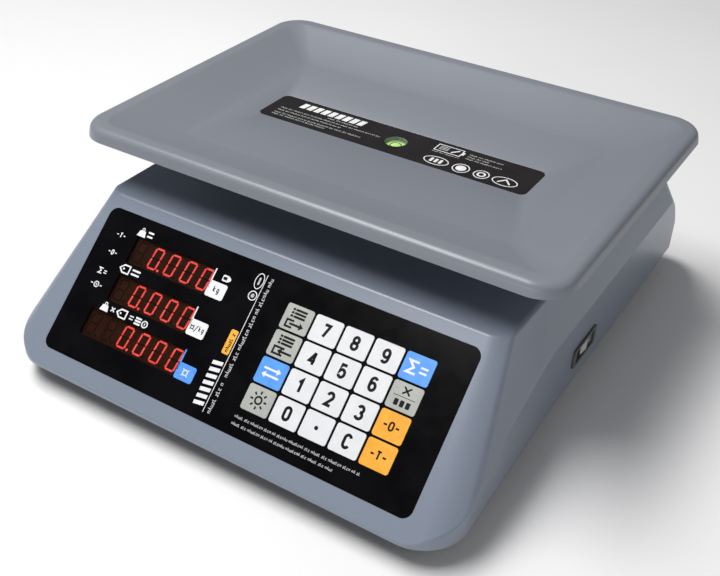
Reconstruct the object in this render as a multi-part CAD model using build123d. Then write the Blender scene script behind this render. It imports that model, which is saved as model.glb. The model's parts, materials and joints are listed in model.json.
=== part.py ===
from build123d import *
import os
from math import atan2, cos, degrees, hypot, radians, sin, tan

# Counting and price scale for a shop counter: a moulded housing with a sloping control panel,
# a load cell inside, a lift-off pan on a cast support, and four levelling feet.
# Frame: +X is the operator's right, +Y is away from the operator, +Z is up, and the origin is
# on the counter, under the middle of the housing. All sizes are in millimetres.

# ---- Driving dimensions ----------------------------------------------------------------------
HOUSING_FRONT_Y = -181.0
HOUSING_REAR_Y = 181.0
SIDE_X = 151.0                 # half width along the straight sides
FRONT_SIDE_X = 156.0           # half width at the front, where the sides flare
FLARE_START_Y = -50.0
PLAN_FRONT_RADIUS = 28.0
PLAN_REAR_RADIUS = 9.0
PLATEAU_Z = 94.0
LIP_Z = 15.0
BASE_Z = 8.0
WALL = 2.6
TRAY_LEDGE_Z = 13.0            # underside of the tray where it meets the cover
TRAY_FLOOR = (282.0, 342.0)    # width and depth of the tray's sunk floor
TRAY_RADIUS = 20.0
TRAY_WALL = 2.5
PEDESTAL_WIDTH = 224.0         # step on the plateau, under the pan
PEDESTAL_DEPTH = 148.0
PEDESTAL_RADIUS = 10.0
PEDESTAL_TOP_Z = 99.8

SLOPE_TILT = 41.11             # control panel, degrees from level
SLOPE_TOP_Y = -93.45
REAR_TOP_Y = 151.0
HIP_Z = 20.0                   # level at which the lower hip outline is given
PLATEAU_X = 139.5
HIP_SIDE_X = 166.4
HIP_FRONT_X = 157.4
HIP_TOP_CREASE_Y = -40.0
HIP_LOW_CREASE_Y = -100.5
HIP_TOP_FRONT_RADIUS = 11.0
HIP_LOW_FRONT_RADIUS = 20.0
HIP_TOP_REAR_RADIUS = 12.0
HIP_LOW_REAR_RADIUS = 12.0

PAN_CENTRE_Y = 25.0
PAN_CENTRE = (0.0, PAN_CENTRE_Y)
PAN_WIDTH = 330.0
PAN_DEPTH = 234.0
PAN_RADIUS = 21.0
PAN_DRAFT = 1.5
PAN_SKIRT_Z = 124.0
PAN_RIM_Z = 132.0
PAN_RIM_WIDTH = 11.0
PAN_FLOOR_Z = 119.0
PAN_FLOOR_WIDTH = 232.0
PAN_FLOOR_DEPTH = 136.0
PAN_WALL = 2.5
PAN_EDGE_RADIUS = 4.5          # roll of the rim's outer edge
PAN_MOUTH_RADIUS = 12.0        # plan corners of the basin at the rim
PAN_FLOOR_RADIUS = 5.0
LABEL_WIDTH = 195.5
LABEL_DEPTH = 33.4
LABEL_THICKNESS = 0.5
SIGHT_HOLE_RADIUS = 7.5

OVERLAY_WIDTH = 259.8
OVERLAY_LOW_V = -73.9
OVERLAY_HIGH_V = 22.6
OVERLAY_RADIUS = 6.0
OVERLAY_THICKNESS = 1.0
KEY_PITCH_U = 19.5
KEY_PITCH_V = 16.64
KEYPAD_U = 61.3                # centre of the middle key column
KEY_WIDTH = 18.0
KEY_HEIGHT = 15.3
KEY_RADIUS = 1.5
KEY_GAP = 0.2
KEY_PROUD = 0.3
KEY_TRAVEL = 0.5
KEY_ROWS = (
    ("key_recall", "key_7", "key_8", "key_9", "key_sum"),
    ("key_store", "key_4", "key_5", "key_6", "key_reset"),
    ("key_change", "key_1", "key_2", "key_3", "key_zero"),
    ("key_light", "key_0", "key_point", "key_clear", "key_tare"),
)

DIGIT_PITCH = 12.7
DIGIT_WIDTH = 12.6
DIGIT_HEIGHT = 19.0
DIGIT_DEPTH = 7.6
BOARD_THICKNESS = 1.6
# Each display row: how many digits, the middle of its last digit and the height of its middle.
FRONT_ROWS = ((5, -46.3, 1.5), (5, -46.3, -24.0), (6, -40.6, -49.0))
REAR_ROWS = ((5, 25.4, 21.2), (5, 25.4, 2.0), (6, 31.75, -17.2))
WINDOW_MARGIN_U = 5.2
WINDOW_HEIGHT = 17.4

FOOT_X = 118.0
FOOT_FRONT_Y = -140.0
FOOT_REAR_Y = 145.0
FOOT_PAD_RADIUS = 14.0
FOOT_PAD_Z = 4.0
FOOT_WHEEL_RADIUS = 11.5
FOOT_SPIGOT_RADIUS = 3.1
FOOT_SPIGOT_Z = 2.0
FOOT_STUD_RADIUS = 3.95
FOOT_STUD_TOP_Z = 25.0

CELL_LENGTH = 130.0
CELL_WIDTH = 30.0
CELL_LOW_Z = 40.0
CELL_HIGH_Z = 62.0
FIXED_BOLTS_X = (-57.0, -43.0)
FREE_BOLTS_X = (43.0, 57.0)
BOLT_HOLE_RADIUS = 3.1
BOLT_RADIUS = 2.95

# ---- Reference planes ------------------------------------------------------------------------
# The control panel's plane: local X is the operator's right, local Y runs up the slope, and
# its origin is on the middle of the housing, level with the top row of keys.
PANEL_DROP = 31.16
PANEL = Plane(
    origin=(
        0,
        SLOPE_TOP_Y - PANEL_DROP * cos(radians(SLOPE_TILT)),
        PLATEAU_Z - PANEL_DROP * sin(radians(SLOPE_TILT)),
    ),
    x_dir=(1, 0, 0),
    z_dir=(0, -sin(radians(SLOPE_TILT)), cos(radians(SLOPE_TILT))),
)
REAR_RUN = HOUSING_REAR_Y - REAR_TOP_Y
HIP_FALL = PLATEAU_Z - HIP_Z
REAR_PANEL = Plane(
    origin=(0, REAR_TOP_Y + REAR_RUN / 2, PLATEAU_Z - HIP_FALL / 2),
    x_dir=(-1, 0, 0),
    z_dir=(0, HIP_FALL, REAR_RUN),
)


# ---- Helpers ---------------------------------------------------------------------------------
def block(low, high):
    """A box between two opposite corners."""
    size = [b - a for a, b in zip(low, high)]
    middle = [(a + b) / 2 for a, b in zip(low, high)]
    return Pos(*middle) * Box(*size)


def post(x, y, low_z, high_z, radius):
    """An upright cylinder."""
    seat = (Align.CENTER, Align.CENTER, Align.MIN)
    return Pos(x, y, low_z) * Cylinder(radius, high_z - low_z, align=seat)


def slab(plane, centre, size, low, high, radius=0.0):
    """A plate parallel to a plane, from height low to height high above it."""
    outline = RectangleRounded(*size, radius) if radius else Rectangle(*size)
    return plane * Pos(centre[0], centre[1], low) * extrude(outline, high - low)


def stud(plane, centre, low, high, radius):
    """A cylinder square to a plane."""
    seat = (Align.CENTER, Align.CENTER, Align.MIN)
    return plane * Pos(centre[0], centre[1], low) * Cylinder(radius, high - low, align=seat)


def screw(shank_radius, length, head_radius, head_height):
    """A screw whose shank points up from the origin, with its head below."""
    drive = Pos(0, 0, -head_height) * Box(head_radius * 1.2, 0.8, 1.2)
    cross = drive + Rot(0, 0, 90) * drive
    head = post(0, 0, -head_height, 0, head_radius)
    return head + post(0, 0, 0, length, shank_radius) - cross


def four_corners(x, y, centre=(0.0, 0.0)):
    return [(centre[0] + i * x, centre[1] + j * y) for i in (-1, 1) for j in (-1, 1)]


def between(low, high, share):
    return low + (high - low) * share


# ---- Housing form ----------------------------------------------------------------------------
def outline(z, rear_y, crease_y, front_y, rear_x, front_x, rear_radius, front_radius):
    """A closed plan outline at height z, with its four corners rounded."""
    points = [
        (rear_x, rear_y),
        (-rear_x, rear_y),
        (-rear_x, crease_y),
        (-front_x, front_y),
        (front_x, front_y),
        (rear_x, crease_y),
    ]
    face = make_face(Polyline(*points, close=True))
    face = fillet([v for v in face.vertices() if v.Y > rear_y - 1], rear_radius)
    face = fillet([v for v in face.vertices() if v.Y < front_y + 1], front_radius)
    return Pos(0, 0, z) * face


def hip_outline(z, inset):
    """One level of the hipped roof: front slope, side bevels and leaning rear."""
    share = (z - HIP_Z) / HIP_FALL
    slope_low_y = SLOPE_TOP_Y - HIP_FALL / tan(radians(SLOPE_TILT))
    side_inset = inset * hypot(HIP_SIDE_X - PLATEAU_X, HIP_FALL) / HIP_FALL
    rear_inset = inset * hypot(REAR_RUN, HIP_FALL) / HIP_FALL
    return outline(
        z,
        between(HOUSING_REAR_Y, REAR_TOP_Y, share) - rear_inset,
        between(HIP_LOW_CREASE_Y, HIP_TOP_CREASE_Y, share),
        between(slope_low_y, SLOPE_TOP_Y, share) + inset / sin(radians(SLOPE_TILT)),
        between(HIP_SIDE_X, PLATEAU_X, share) - side_inset,
        between(HIP_FRONT_X, PLATEAU_X, share) - side_inset,
        between(HIP_LOW_REAR_RADIUS, HIP_TOP_REAR_RADIUS, share) - inset,
        between(HIP_LOW_FRONT_RADIUS, HIP_TOP_FRONT_RADIUS, share) - inset,
    )


def housing_form(inset, low_z):
    """The solid inside the housing's skin, moved inwards by inset, down to low_z."""
    plan = outline(
        low_z,
        HOUSING_REAR_Y - inset,
        FLARE_START_Y,
        HOUSING_FRONT_Y + inset,
        SIDE_X - inset,
        FRONT_SIDE_X - inset,
        PLAN_REAR_RADIUS - inset,
        PLAN_FRONT_RADIUS - inset,
    )
    walls = extrude(plan, PLATEAU_Z - inset - low_z)
    roof = loft([hip_outline(low_z - 1, inset), hip_outline(PLATEAU_Z + 2, inset)], ruled=True)
    return walls & roof


# ---- Places shared by several pieces ---------------------------------------------------------
PILLARS = [(i * x, y) for x, y in ((131.0, 112.0), (133.0, 34.0), (131.0, -118.0)) for i in (-1, 1)]
FEET = {
    "front_left": (-FOOT_X, FOOT_FRONT_Y),
    "front_right": (FOOT_X, FOOT_FRONT_Y),
    "rear_left": (-FOOT_X, FOOT_REAR_Y),
    "rear_right": (FOOT_X, FOOT_REAR_Y),
}
OVERLAY_CENTRE = (0.0, (OVERLAY_LOW_V + OVERLAY_HIGH_V) / 2)
OVERLAY_SIZE = (OVERLAY_WIDTH, OVERLAY_HIGH_V - OVERLAY_LOW_V)
DISPLAY_CENTRE = (-72.0, -23.0)
DISPLAY_OPENING = (96.0, 84.0)
DISPLAY_POSTS = four_corners(51.5, 45.5, DISPLAY_CENTRE)
DISPLAY_BOARD = (109.0, 97.0)
KEYPAD_CENTRE = (KEYPAD_U, -1.5 * KEY_PITCH_V)
KEYPAD_OPENING = (4 * KEY_PITCH_U + 20.4, 3 * KEY_PITCH_V + 17.7)
KEYPAD_POSTS = four_corners(53.0, 38.0, KEYPAD_CENTRE)
KEYPAD_BOARD = (112.0, 82.0)
FILTER_LOW = -2.2
DIGIT_TOP = -2.4
DISPLAY_BOARD_TOP = DIGIT_TOP - DIGIT_DEPTH
KEYPAD_BOARD_TOP = -5.0
REAR_OVERLAY_CENTRE = (0.0, 2.0)
REAR_OVERLAY_SIZE = (132.0, 64.0)
REAR_OPENING = (84.0, 60.0)
REAR_BOARD = (98.0, 68.0)
REAR_POSTS = four_corners(45.4, 30.6, REAR_OVERLAY_CENTRE)
SCREW_HOLE = 1.45
SHANK = 1.4
PILLAR_RADIUS = 4.5            # screw pillars that hang from the cover's roof
PILLAR_BOSS_RADIUS = 6.0       # their seats on the tray
COVER_SCREW_SEAT_Z = 11.0
COVER_SCREW_HEAD_ROOM = 3.7
BOARD_POST_RADIUS = 3.2
REAR_POST_RADIUS = 2.9
BOARD_HOLE_RADIUS = 1.6
FOOT_BOSS_RADIUS = 9.0
FOOT_BOSS_TOP_Z = 26.0

SWITCH_Y = 2.0
SWITCH_Z = 34.0
SWITCH_PIVOT_X = 146.5
SWITCH_OPENING = (30.4, 11.6)
SWITCH_WALL = Plane(origin=(SIDE_X, SWITCH_Y, SWITCH_Z), x_dir=(0, 1, 0), z_dir=(1, 0, 0))
INLET_Y = 5.0
INLET_Z = 34.0
INLET_WALL = Plane(origin=(-SIDE_X, INLET_Y, INLET_Z), x_dir=(0, -1, 0), z_dir=(-1, 0, 0))

COLUMN_SIZE = (52.0, 42.0)
COLUMN_OPENING = (64.0, 54.0)
ARM_LOW_Z = 101.2
ARM_HIGH_Z = 106.0
PAD_X = 95.0
PAD_Y = 50.0
PAD_RADIUS = 10.0
PAD_LOW_Z = 107.5
PAN_UNDER_Z = PAN_FLOOR_Z - PAN_WALL
VIAL_RADIUS = 10.0
VIAL_LOW_Z = 106.6
VIAL_HIGH_Z = 116.0

FRAME_LOW_Z = 14.5
FRAME_HIGH_Z = 19.5
FRAME_POSTS = four_corners(72.0, 15.0, (0.0, 23.0))
MAIN_BOARD_CENTRE = (0.0, -65.0)
MAIN_BOARD_SIZE = (110.0, 80.0)
MAIN_BOARD_Z = 18.0
MAIN_BOARD_POSTS = four_corners(50.0, 35.0, MAIN_BOARD_CENTRE)
BATTERY_LOW = (-102.0, 46.5, 10.5)
BATTERY_HIGH = (-32.0, 147.5, 57.5)
DOOR_LOW_X = -104.0
DOOR_HIGH_X = -30.0
DOOR_FRONT_Y = 43.0
DOOR_REAR_Y = 170.0
DOOR_TOP_Z = 10.2


# ---- Housing ---------------------------------------------------------------------------------
def rounded_form():
    """The outer form with its plateau edge and the foot of its slope softened."""
    form = housing_form(0, LIP_Z)
    form = fillet([e for e in form.edges() if e.center().Z > PLATEAU_Z - 0.1], 3.0)
    foot = [e for e in form.edges() if LIP_Z + 0.5 < e.center().Z < HIP_Z]
    foot = [e for e in foot if e.center().Y < HOUSING_FRONT_Y + 1 and e.length > 200]
    return fillet(foot, 1.6)


def pedestal(inset, low_z, high_z):
    """The step on the plateau, moved inwards by inset, with its top edge softened."""
    size = (PEDESTAL_WIDTH - 2 * inset, PEDESTAL_DEPTH - 2 * inset)
    step = slab(Plane.XY, PAN_CENTRE, size, low_z, high_z, PEDESTAL_RADIUS - inset)
    return fillet([e for e in step.edges() if e.center().Z > high_z - 0.1], 1.2)


def top_cover():
    """Moulded upper shell: sloping panel, plateau, bevelled sides and leaning rear."""
    skin = rounded_form()
    cover = skin - housing_form(WALL, LIP_Z - 1)
    pillars = Part() + [post(x, y, TRAY_LEDGE_Z, PLATEAU_Z, PILLAR_RADIUS) for x, y in PILLARS]
    posts = board_posts(PANEL, DISPLAY_POSTS, DISPLAY_BOARD_TOP, -WALL / 2, BOARD_POST_RADIUS)
    posts += board_posts(PANEL, KEYPAD_POSTS, KEYPAD_BOARD_TOP, -WALL / 2, BOARD_POST_RADIUS)
    posts += board_posts(REAR_PANEL, REAR_POSTS, DISPLAY_BOARD_TOP, -WALL / 2, REAR_POST_RADIUS)
    cover += (pillars + posts) & skin_envelope(skin)
    cover += pedestal(0, PLATEAU_Z - WALL, PEDESTAL_TOP_Z)
    cover -= pedestal(WALL, PLATEAU_Z - WALL - 1, PEDESTAL_TOP_Z - WALL)
    cover -= slab(Plane.XY, PAN_CENTRE, COLUMN_OPENING, PLATEAU_Z - 10, PEDESTAL_TOP_Z + 1, 8)
    cover -= slab(PANEL, OVERLAY_CENTRE, OVERLAY_SIZE, -OVERLAY_THICKNESS, 5, OVERLAY_RADIUS)
    cover -= slab(PANEL, DISPLAY_CENTRE, DISPLAY_OPENING, -WALL - 1, 5, 2)
    cover -= slab(PANEL, KEYPAD_CENTRE, KEYPAD_OPENING, -WALL - 1, 5, 2)
    cover -= slab(REAR_PANEL, REAR_OVERLAY_CENTRE, REAR_OVERLAY_SIZE, -OVERLAY_THICKNESS, 5, 6)
    cover -= slab(REAR_PANEL, REAR_OVERLAY_CENTRE, REAR_OPENING, -WALL - 1, 5, 2)
    cover -= Part() + [post(x, y, 12, 32, SCREW_HOLE + 0.1) for x, y in PILLARS]
    cover -= board_posts(PANEL, DISPLAY_POSTS, DISPLAY_BOARD_TOP - 1, -4.5, SCREW_HOLE)
    cover -= board_posts(PANEL, KEYPAD_POSTS, KEYPAD_BOARD_TOP - 1, -1.5, SCREW_HOLE)
    cover -= board_posts(REAR_PANEL, REAR_POSTS, DISPLAY_BOARD_TOP - 1, -4.5, SCREW_HOLE)
    cover -= slab(SWITCH_WALL, (0, 0), SWITCH_OPENING, -8, 5)
    cover -= stud(INLET_WALL, (0, 0), -10, 10, 5.0)
    return cover


def board_posts(plane, places, low, high, radius):
    """One round post, or the hole in it, for every screw of a circuit board."""
    return Part() + [stud(plane, place, low, high, radius) for place in places]


def skin_envelope(skin):
    """Everything inside the skin, extended down to the feet of the screw pillars."""
    return skin + housing_form(WALL / 2, BASE_Z)


def battery_room(gap, low_z, high_z):
    """The battery's outline widened by gap on every side, from low_z to high_z."""
    low = (BATTERY_LOW[0] - gap, BATTERY_LOW[1] - gap, low_z)
    high = (BATTERY_HIGH[0] + gap, BATTERY_HIGH[1] + gap, high_z)
    return block(low, high)


def door_channel(side_gap, low_z, high_z):
    """A channel for the battery door, open at the rear."""
    low = (DOOR_LOW_X - side_gap, DOOR_FRONT_Y - 0.3, low_z)
    return block(low, (DOOR_HIGH_X + side_gap, HOUSING_REAR_Y, high_z))


def base_shell():
    """Moulded tray that closes the housing: a ledge inside the cover's lip and a sunk floor."""
    floor_z = BASE_Z + TRAY_WALL
    ledge_top_z = TRAY_LEDGE_Z + TRAY_WALL
    hollow = [side - 2 * TRAY_WALL for side in TRAY_FLOOR]
    rim = block((-200, -200, TRAY_LEDGE_Z), (200, 200, 22))
    tray = housing_form(3.0, TRAY_LEDGE_Z) & rim
    tray += slab(Plane.XY, (0, 0), TRAY_FLOOR, BASE_Z, ledge_top_z, TRAY_RADIUS)
    tray -= housing_form(5.2, ledge_top_z)
    tray -= slab(Plane.XY, (0, 0), hollow, floor_z, ledge_top_z + 1, TRAY_RADIUS - TRAY_WALL)
    tray += block((-108, 40, BASE_Z), (-26, TRAY_FLOOR[1] / 2 - 1, 12.4))
    tray += Part() + [post(x, y, BASE_Z, TRAY_LEDGE_Z, PILLAR_BOSS_RADIUS) for x, y in PILLARS]
    tray += Part() + [post(x, y, BASE_Z, FOOT_BOSS_TOP_Z, FOOT_BOSS_RADIUS) for x, y in FEET.values()]
    tray += Part() + [post(x, y, BASE_Z, FRAME_LOW_Z, 5.0) for x, y in FRAME_POSTS]
    tray += Part() + [post(x, y, BASE_Z, MAIN_BOARD_Z, 3.5) for x, y in MAIN_BOARD_POSTS]
    tray += battery_room(2.4, floor_z, 30)
    tray -= battery_room(0.4, 0, 31)
    tray -= door_channel(0.3, 0, DOOR_TOP_Z + 0.2)
    tray -= door_channel(1.5, 8.6, 10.0)
    tray -= Part() + [post(x, y, 0, COVER_SCREW_SEAT_Z, COVER_SCREW_HEAD_ROOM) for x, y in PILLARS]
    tray -= Part() + [post(x, y, 10, 14, SCREW_HOLE + 0.35) for x, y in PILLARS]
    tray -= Part() + [post(x, y, 0, 25.6, FOOT_STUD_RADIUS + 0.09) for x, y in FEET.values()]
    tray -= Part() + [post(x, y, 10.3, 15, SCREW_HOLE) for x, y in FRAME_POSTS]
    tray -= Part() + [post(x, y, 11, 20, SCREW_HOLE) for x, y in MAIN_BOARD_POSTS]
    return tray


def battery_door():
    """Sliding door under the battery, with tongues along both sides and finger grooves."""
    door = block((DOOR_LOW_X, DOOR_FRONT_Y, BASE_Z), (DOOR_HIGH_X, DOOR_REAR_Y, DOOR_TOP_Z))
    door += block((DOOR_LOW_X - 1.2, DOOR_FRONT_Y, 8.9), (DOOR_HIGH_X + 1.2, DOOR_REAR_Y - 4, 9.7))
    middle = (DOOR_LOW_X + DOOR_HIGH_X) / 2
    for i in range(6):
        y = DOOR_REAR_Y - 12 - 3.5 * i
        door -= block((middle - 15, y - 0.8, BASE_Z - 1), (middle + 15, y + 0.8, BASE_Z + 0.7))
    return door


def cover_screws():
    one = screw(SCREW_HOLE, 19, 3.4, 2.6)
    return Compound(children=[Pos(x, y, COVER_SCREW_SEAT_Z - 0.1) * one for x, y in PILLARS])


# ---- Control panel ---------------------------------------------------------------------------
def key_places():
    """Every key's name with its centre on the panel."""
    for row, names in enumerate(KEY_ROWS):
        for column, name in enumerate(names):
            yield name, (KEYPAD_U + (column - 2) * KEY_PITCH_U, -row * KEY_PITCH_V)


def window(row):
    """Centre and size of the see-through window over one row of digits."""
    count, last_u, v = row
    width = (count - 1) * DIGIT_PITCH + 2 * WINDOW_MARGIN_U
    return (last_u - (count - 1) * DIGIT_PITCH / 2, v), (width, WINDOW_HEIGHT)


def front_overlay():
    """Printed front panel with windows for three rows of digits and holes for twenty keys."""
    gap = 0.15
    size = [side - 2 * gap for side in OVERLAY_SIZE]
    sheet = slab(PANEL, OVERLAY_CENTRE, size, -OVERLAY_THICKNESS, 0, OVERLAY_RADIUS - gap)
    hole = (KEY_WIDTH + 2 * KEY_GAP, KEY_HEIGHT + 2 * KEY_GAP)
    for _, centre in key_places():
        sheet -= slab(PANEL, centre, hole, -2, 1, KEY_RADIUS + KEY_GAP)
    for row in FRONT_ROWS:
        sheet -= slab(PANEL, *window(row), -2, 1, 1)
    return sheet


def key(centre):
    """One key: cap through the overlay, retaining flange, and a stem to its contact dome."""
    cap = slab(PANEL, centre, (KEY_WIDTH, KEY_HEIGHT), -OVERLAY_THICKNESS, KEY_PROUD, KEY_RADIUS)
    flange = slab(PANEL, centre, (KEY_WIDTH + 0.9, KEY_HEIGHT + 0.8), -2, -OVERLAY_THICKNESS, KEY_RADIUS)
    return cap + flange + stud(PANEL, centre, -4.4, -2, 2.5)


def display_filter():
    size = [side - 0.6 for side in DISPLAY_OPENING]
    return slab(PANEL, DISPLAY_CENTRE, size, FILTER_LOW, -OVERLAY_THICKNESS, 1.7)


def digit_modules(plane, rows):
    """Seven-segment LED modules standing side by side on their board."""
    solids = []
    for count, last_u, v in rows:
        for i in range(count):
            centre = (last_u - i * DIGIT_PITCH, v)
            size = (DIGIT_WIDTH, DIGIT_HEIGHT)
            solids.append(slab(plane, centre, size, DISPLAY_BOARD_TOP, DIGIT_TOP))
    return Compound(children=solids)


def panel_board(plane, centre, size, top, posts):
    """A circuit board with a screw hole over each post and a connector on its back."""
    back = top - BOARD_THICKNESS
    board = slab(plane, centre, size, back, top, 2)
    board += slab(plane, (centre[0], centre[1] + 12), (22, 6), back - 4, back)
    return board - board_posts(plane, posts, top - 5, top + 1, BOARD_HOLE_RADIUS)


def display_board():
    return panel_board(PANEL, DISPLAY_CENTRE, DISPLAY_BOARD, DISPLAY_BOARD_TOP, DISPLAY_POSTS)


def keypad_board():
    return panel_board(PANEL, KEYPAD_CENTRE, KEYPAD_BOARD, KEYPAD_BOARD_TOP, KEYPAD_POSTS)


def rear_board():
    return panel_board(REAR_PANEL, REAR_OVERLAY_CENTRE, REAR_BOARD, DISPLAY_BOARD_TOP, REAR_POSTS)


def rear_overlay():
    """Printed customer panel on the leaning rear face."""
    gap = 0.15
    size = [side - 2 * gap for side in REAR_OVERLAY_SIZE]
    sheet = slab(REAR_PANEL, REAR_OVERLAY_CENTRE, size, -OVERLAY_THICKNESS, 0, 6 - gap)
    for row in REAR_ROWS:
        sheet -= slab(REAR_PANEL, *window(row), -2, 1, 1)
    return sheet


def rear_filter():
    size = [side - 0.6 for side in REAR_OPENING]
    return slab(REAR_PANEL, REAR_OVERLAY_CENTRE, size, FILTER_LOW, -OVERLAY_THICKNESS, 1.7)


def main_board():
    """Processor and power board with its connectors and a finned regulator heat sink."""
    x, y = MAIN_BOARD_CENTRE
    top = MAIN_BOARD_Z + BOARD_THICKNESS
    board = slab(Plane.XY, MAIN_BOARD_CENTRE, MAIN_BOARD_SIZE, MAIN_BOARD_Z, top, 2)
    board += block((x - 42, y - 14, top), (x - 20, y - 8, top + 8))
    board += block((x - 46, y + 26, top), (x - 32, y + 34, top + 8))
    board += block((x - 8, y - 10, top), (x + 8, y + 6, top + 2))
    board += block((x + 24, y + 12, top), (x + 44, y + 28, top + 3))
    for i in range(5):
        board += block((x + 24 + i * 4.6, y + 12, top + 3), (x + 25.6 + i * 4.6, y + 28, top + 14))
    return board - board_posts(Plane.XY, MAIN_BOARD_POSTS, top - 3, top + 1, BOARD_HOLE_RADIUS)


def board_screws():
    """Identical self-tapping screws that hold every board and the load cell's frame."""
    one = screw(SHANK, 7.0, 2.7, 1.8)
    short = DISPLAY_BOARD_TOP - BOARD_THICKNESS
    solids = [PANEL * Pos(*p, short) * one for p in DISPLAY_POSTS]
    solids += [REAR_PANEL * Pos(*p, short) * one for p in REAR_POSTS]
    turned = Rot(180, 0, 0) * one
    solids += [Pos(*p, MAIN_BOARD_Z + BOARD_THICKNESS) * turned for p in MAIN_BOARD_POSTS]
    solids += [Pos(*p, FRAME_HIGH_Z - 2) * turned for p in FRAME_POSTS]
    keypad = screw(SHANK, 4.6, 2.7, 1.8)
    solids += [PANEL * Pos(*p, KEYPAD_BOARD_TOP - BOARD_THICKNESS) * keypad for p in KEYPAD_POSTS]
    return Compound(children=solids)


# ---- Power -----------------------------------------------------------------------------------
def battery():
    """Sealed six volt battery with its two terminals."""
    case = fillet(block(BATTERY_LOW, BATTERY_HIGH).edges().filter_by(Axis.Z), 2)
    front_y = BATTERY_LOW[1] + 8
    top_z = BATTERY_HIGH[2]
    for x in (-86, -48):
        case += block((x - 3, front_y, top_z), (x + 3, front_y + 6, top_z + 5))
    return case


def power_inlet():
    """Low-voltage supply socket in the left wall, with its centre contact."""
    body = slab(INLET_WALL, (0, 0), (11, 11), -13.4, -3.0)
    body += stud(INLET_WALL, (0, 0), -3.0, 0.6, 4.7)
    body -= stud(INLET_WALL, (0, 0), -10.4, 1, 3.1)
    return body + stud(INLET_WALL, (0, 0), -10.4, -0.4, 1.0)


def switch_bezel():
    """Frame and cup of the power switch, snapped into the right wall."""
    bezel = slab(SWITCH_WALL, (0, 0), (34.5, 13.4), 0, 1.4, 1.5)
    bezel += slab(SWITCH_WALL, (0, 0), (30, 11.2), -12, 0)
    bezel -= slab(SWITCH_WALL, (0, 0), (27.6, 9.6), -10, 2)
    pin_hole = Pos(SWITCH_PIVOT_X, SWITCH_Y, SWITCH_Z) * Cylinder(1.05, 10.8)
    return bezel - pin_hole


def power_rocker():
    """Rocker with a raised band across its middle, tilted to its off position."""
    half = [(13, 3.9), (4.6, 3.9), (4.6, 5.2)]
    lower = [(13, -0.6), (4, -4.0)]
    points = [(-y, x) for y, x in half] + [(y, x) for y, x in reversed(half)]
    points += lower + [(-y, x) for y, x in reversed(lower)]
    profile = make_face(Polyline(*[(x, y) for y, x in points], close=True))
    rocker = extrude(profile, 4.4, both=True) + Cylinder(1.0, 10.4)
    return Pos(SWITCH_PIVOT_X, SWITCH_Y, SWITCH_Z) * Rot(0, 0, -6) * rocker


# ---- Weighing --------------------------------------------------------------------------------
def cell_frame():
    """Cast plate screwed to the tray, with the block that carries the cell's fixed end."""
    frame = block((-80, 2, FRAME_LOW_Z), (80, 44, FRAME_HIGH_Z))
    frame += block((-65, 11, FRAME_HIGH_Z - 1), (-33, 39, CELL_LOW_Z))
    frame -= Part() + [post(x, PAN_CENTRE_Y, 0, 18.6, 5.4) for x in FIXED_BOLTS_X]
    frame -= Part() + [post(x, PAN_CENTRE_Y, 0, 45, BOLT_HOLE_RADIUS) for x in FIXED_BOLTS_X]
    frame -= Part() + [post(x, y, 0, 25, BOARD_HOLE_RADIUS) for x, y in FRAME_POSTS]
    frame -= Part() + [post(x, y, FRAME_HIGH_Z - 2, 25, 3.0) for x, y in FRAME_POSTS]
    return frame - post(55, PAN_CENTRE_Y, 0, 25, 3.05)


def load_cell():
    """Single-point aluminium beam with its twin bending holes."""
    half = CELL_LENGTH / 2
    low_y = PAN_CENTRE_Y - CELL_WIDTH / 2
    cell = block((-half, low_y, CELL_LOW_Z), (half, low_y + CELL_WIDTH, CELL_HIGH_Z))
    middle_z = (CELL_LOW_Z + CELL_HIGH_Z) / 2
    for x in (-11, 11):
        cell -= Pos(x, PAN_CENTRE_Y, middle_z) * Rot(90, 0, 0) * Cylinder(8, CELL_WIDTH + 2)
    cell -= Pos(0, PAN_CENTRE_Y, middle_z) * Box(20, CELL_WIDTH + 2, 5)
    cell -= Part() + [post(x, PAN_CENTRE_Y, CELL_LOW_Z - 1, 57, BOLT_HOLE_RADIUS) for x in FIXED_BOLTS_X]
    cell -= Part() + [post(x, PAN_CENTRE_Y, 45, CELL_HIGH_Z + 1, BOLT_HOLE_RADIUS) for x in FREE_BOLTS_X]
    return cell


def cell_lower_screws():
    one = screw(BOLT_RADIUS, 37, 5.0, 3.6)
    return Compound(children=[Pos(x, PAN_CENTRE_Y, 18.6) * one for x in FIXED_BOLTS_X])


def cell_upper_screws():
    one = Rot(180, 0, 0) * screw(BOLT_RADIUS, 35, 5.0, 4.5)
    return Compound(children=[Pos(x, PAN_CENTRE_Y, 82) * one for x in FREE_BOLTS_X])


def overload_stop():
    """Stop screw with its lock nut, one millimetre under the cell's free end."""
    nut = Pos(55, PAN_CENTRE_Y, FRAME_HIGH_Z) * extrude(RegularPolygon(5.2, 6), 4.8)
    return post(55, PAN_CENTRE_Y, FRAME_LOW_Z, CELL_LOW_Z - 1, 3.0) + nut


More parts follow.
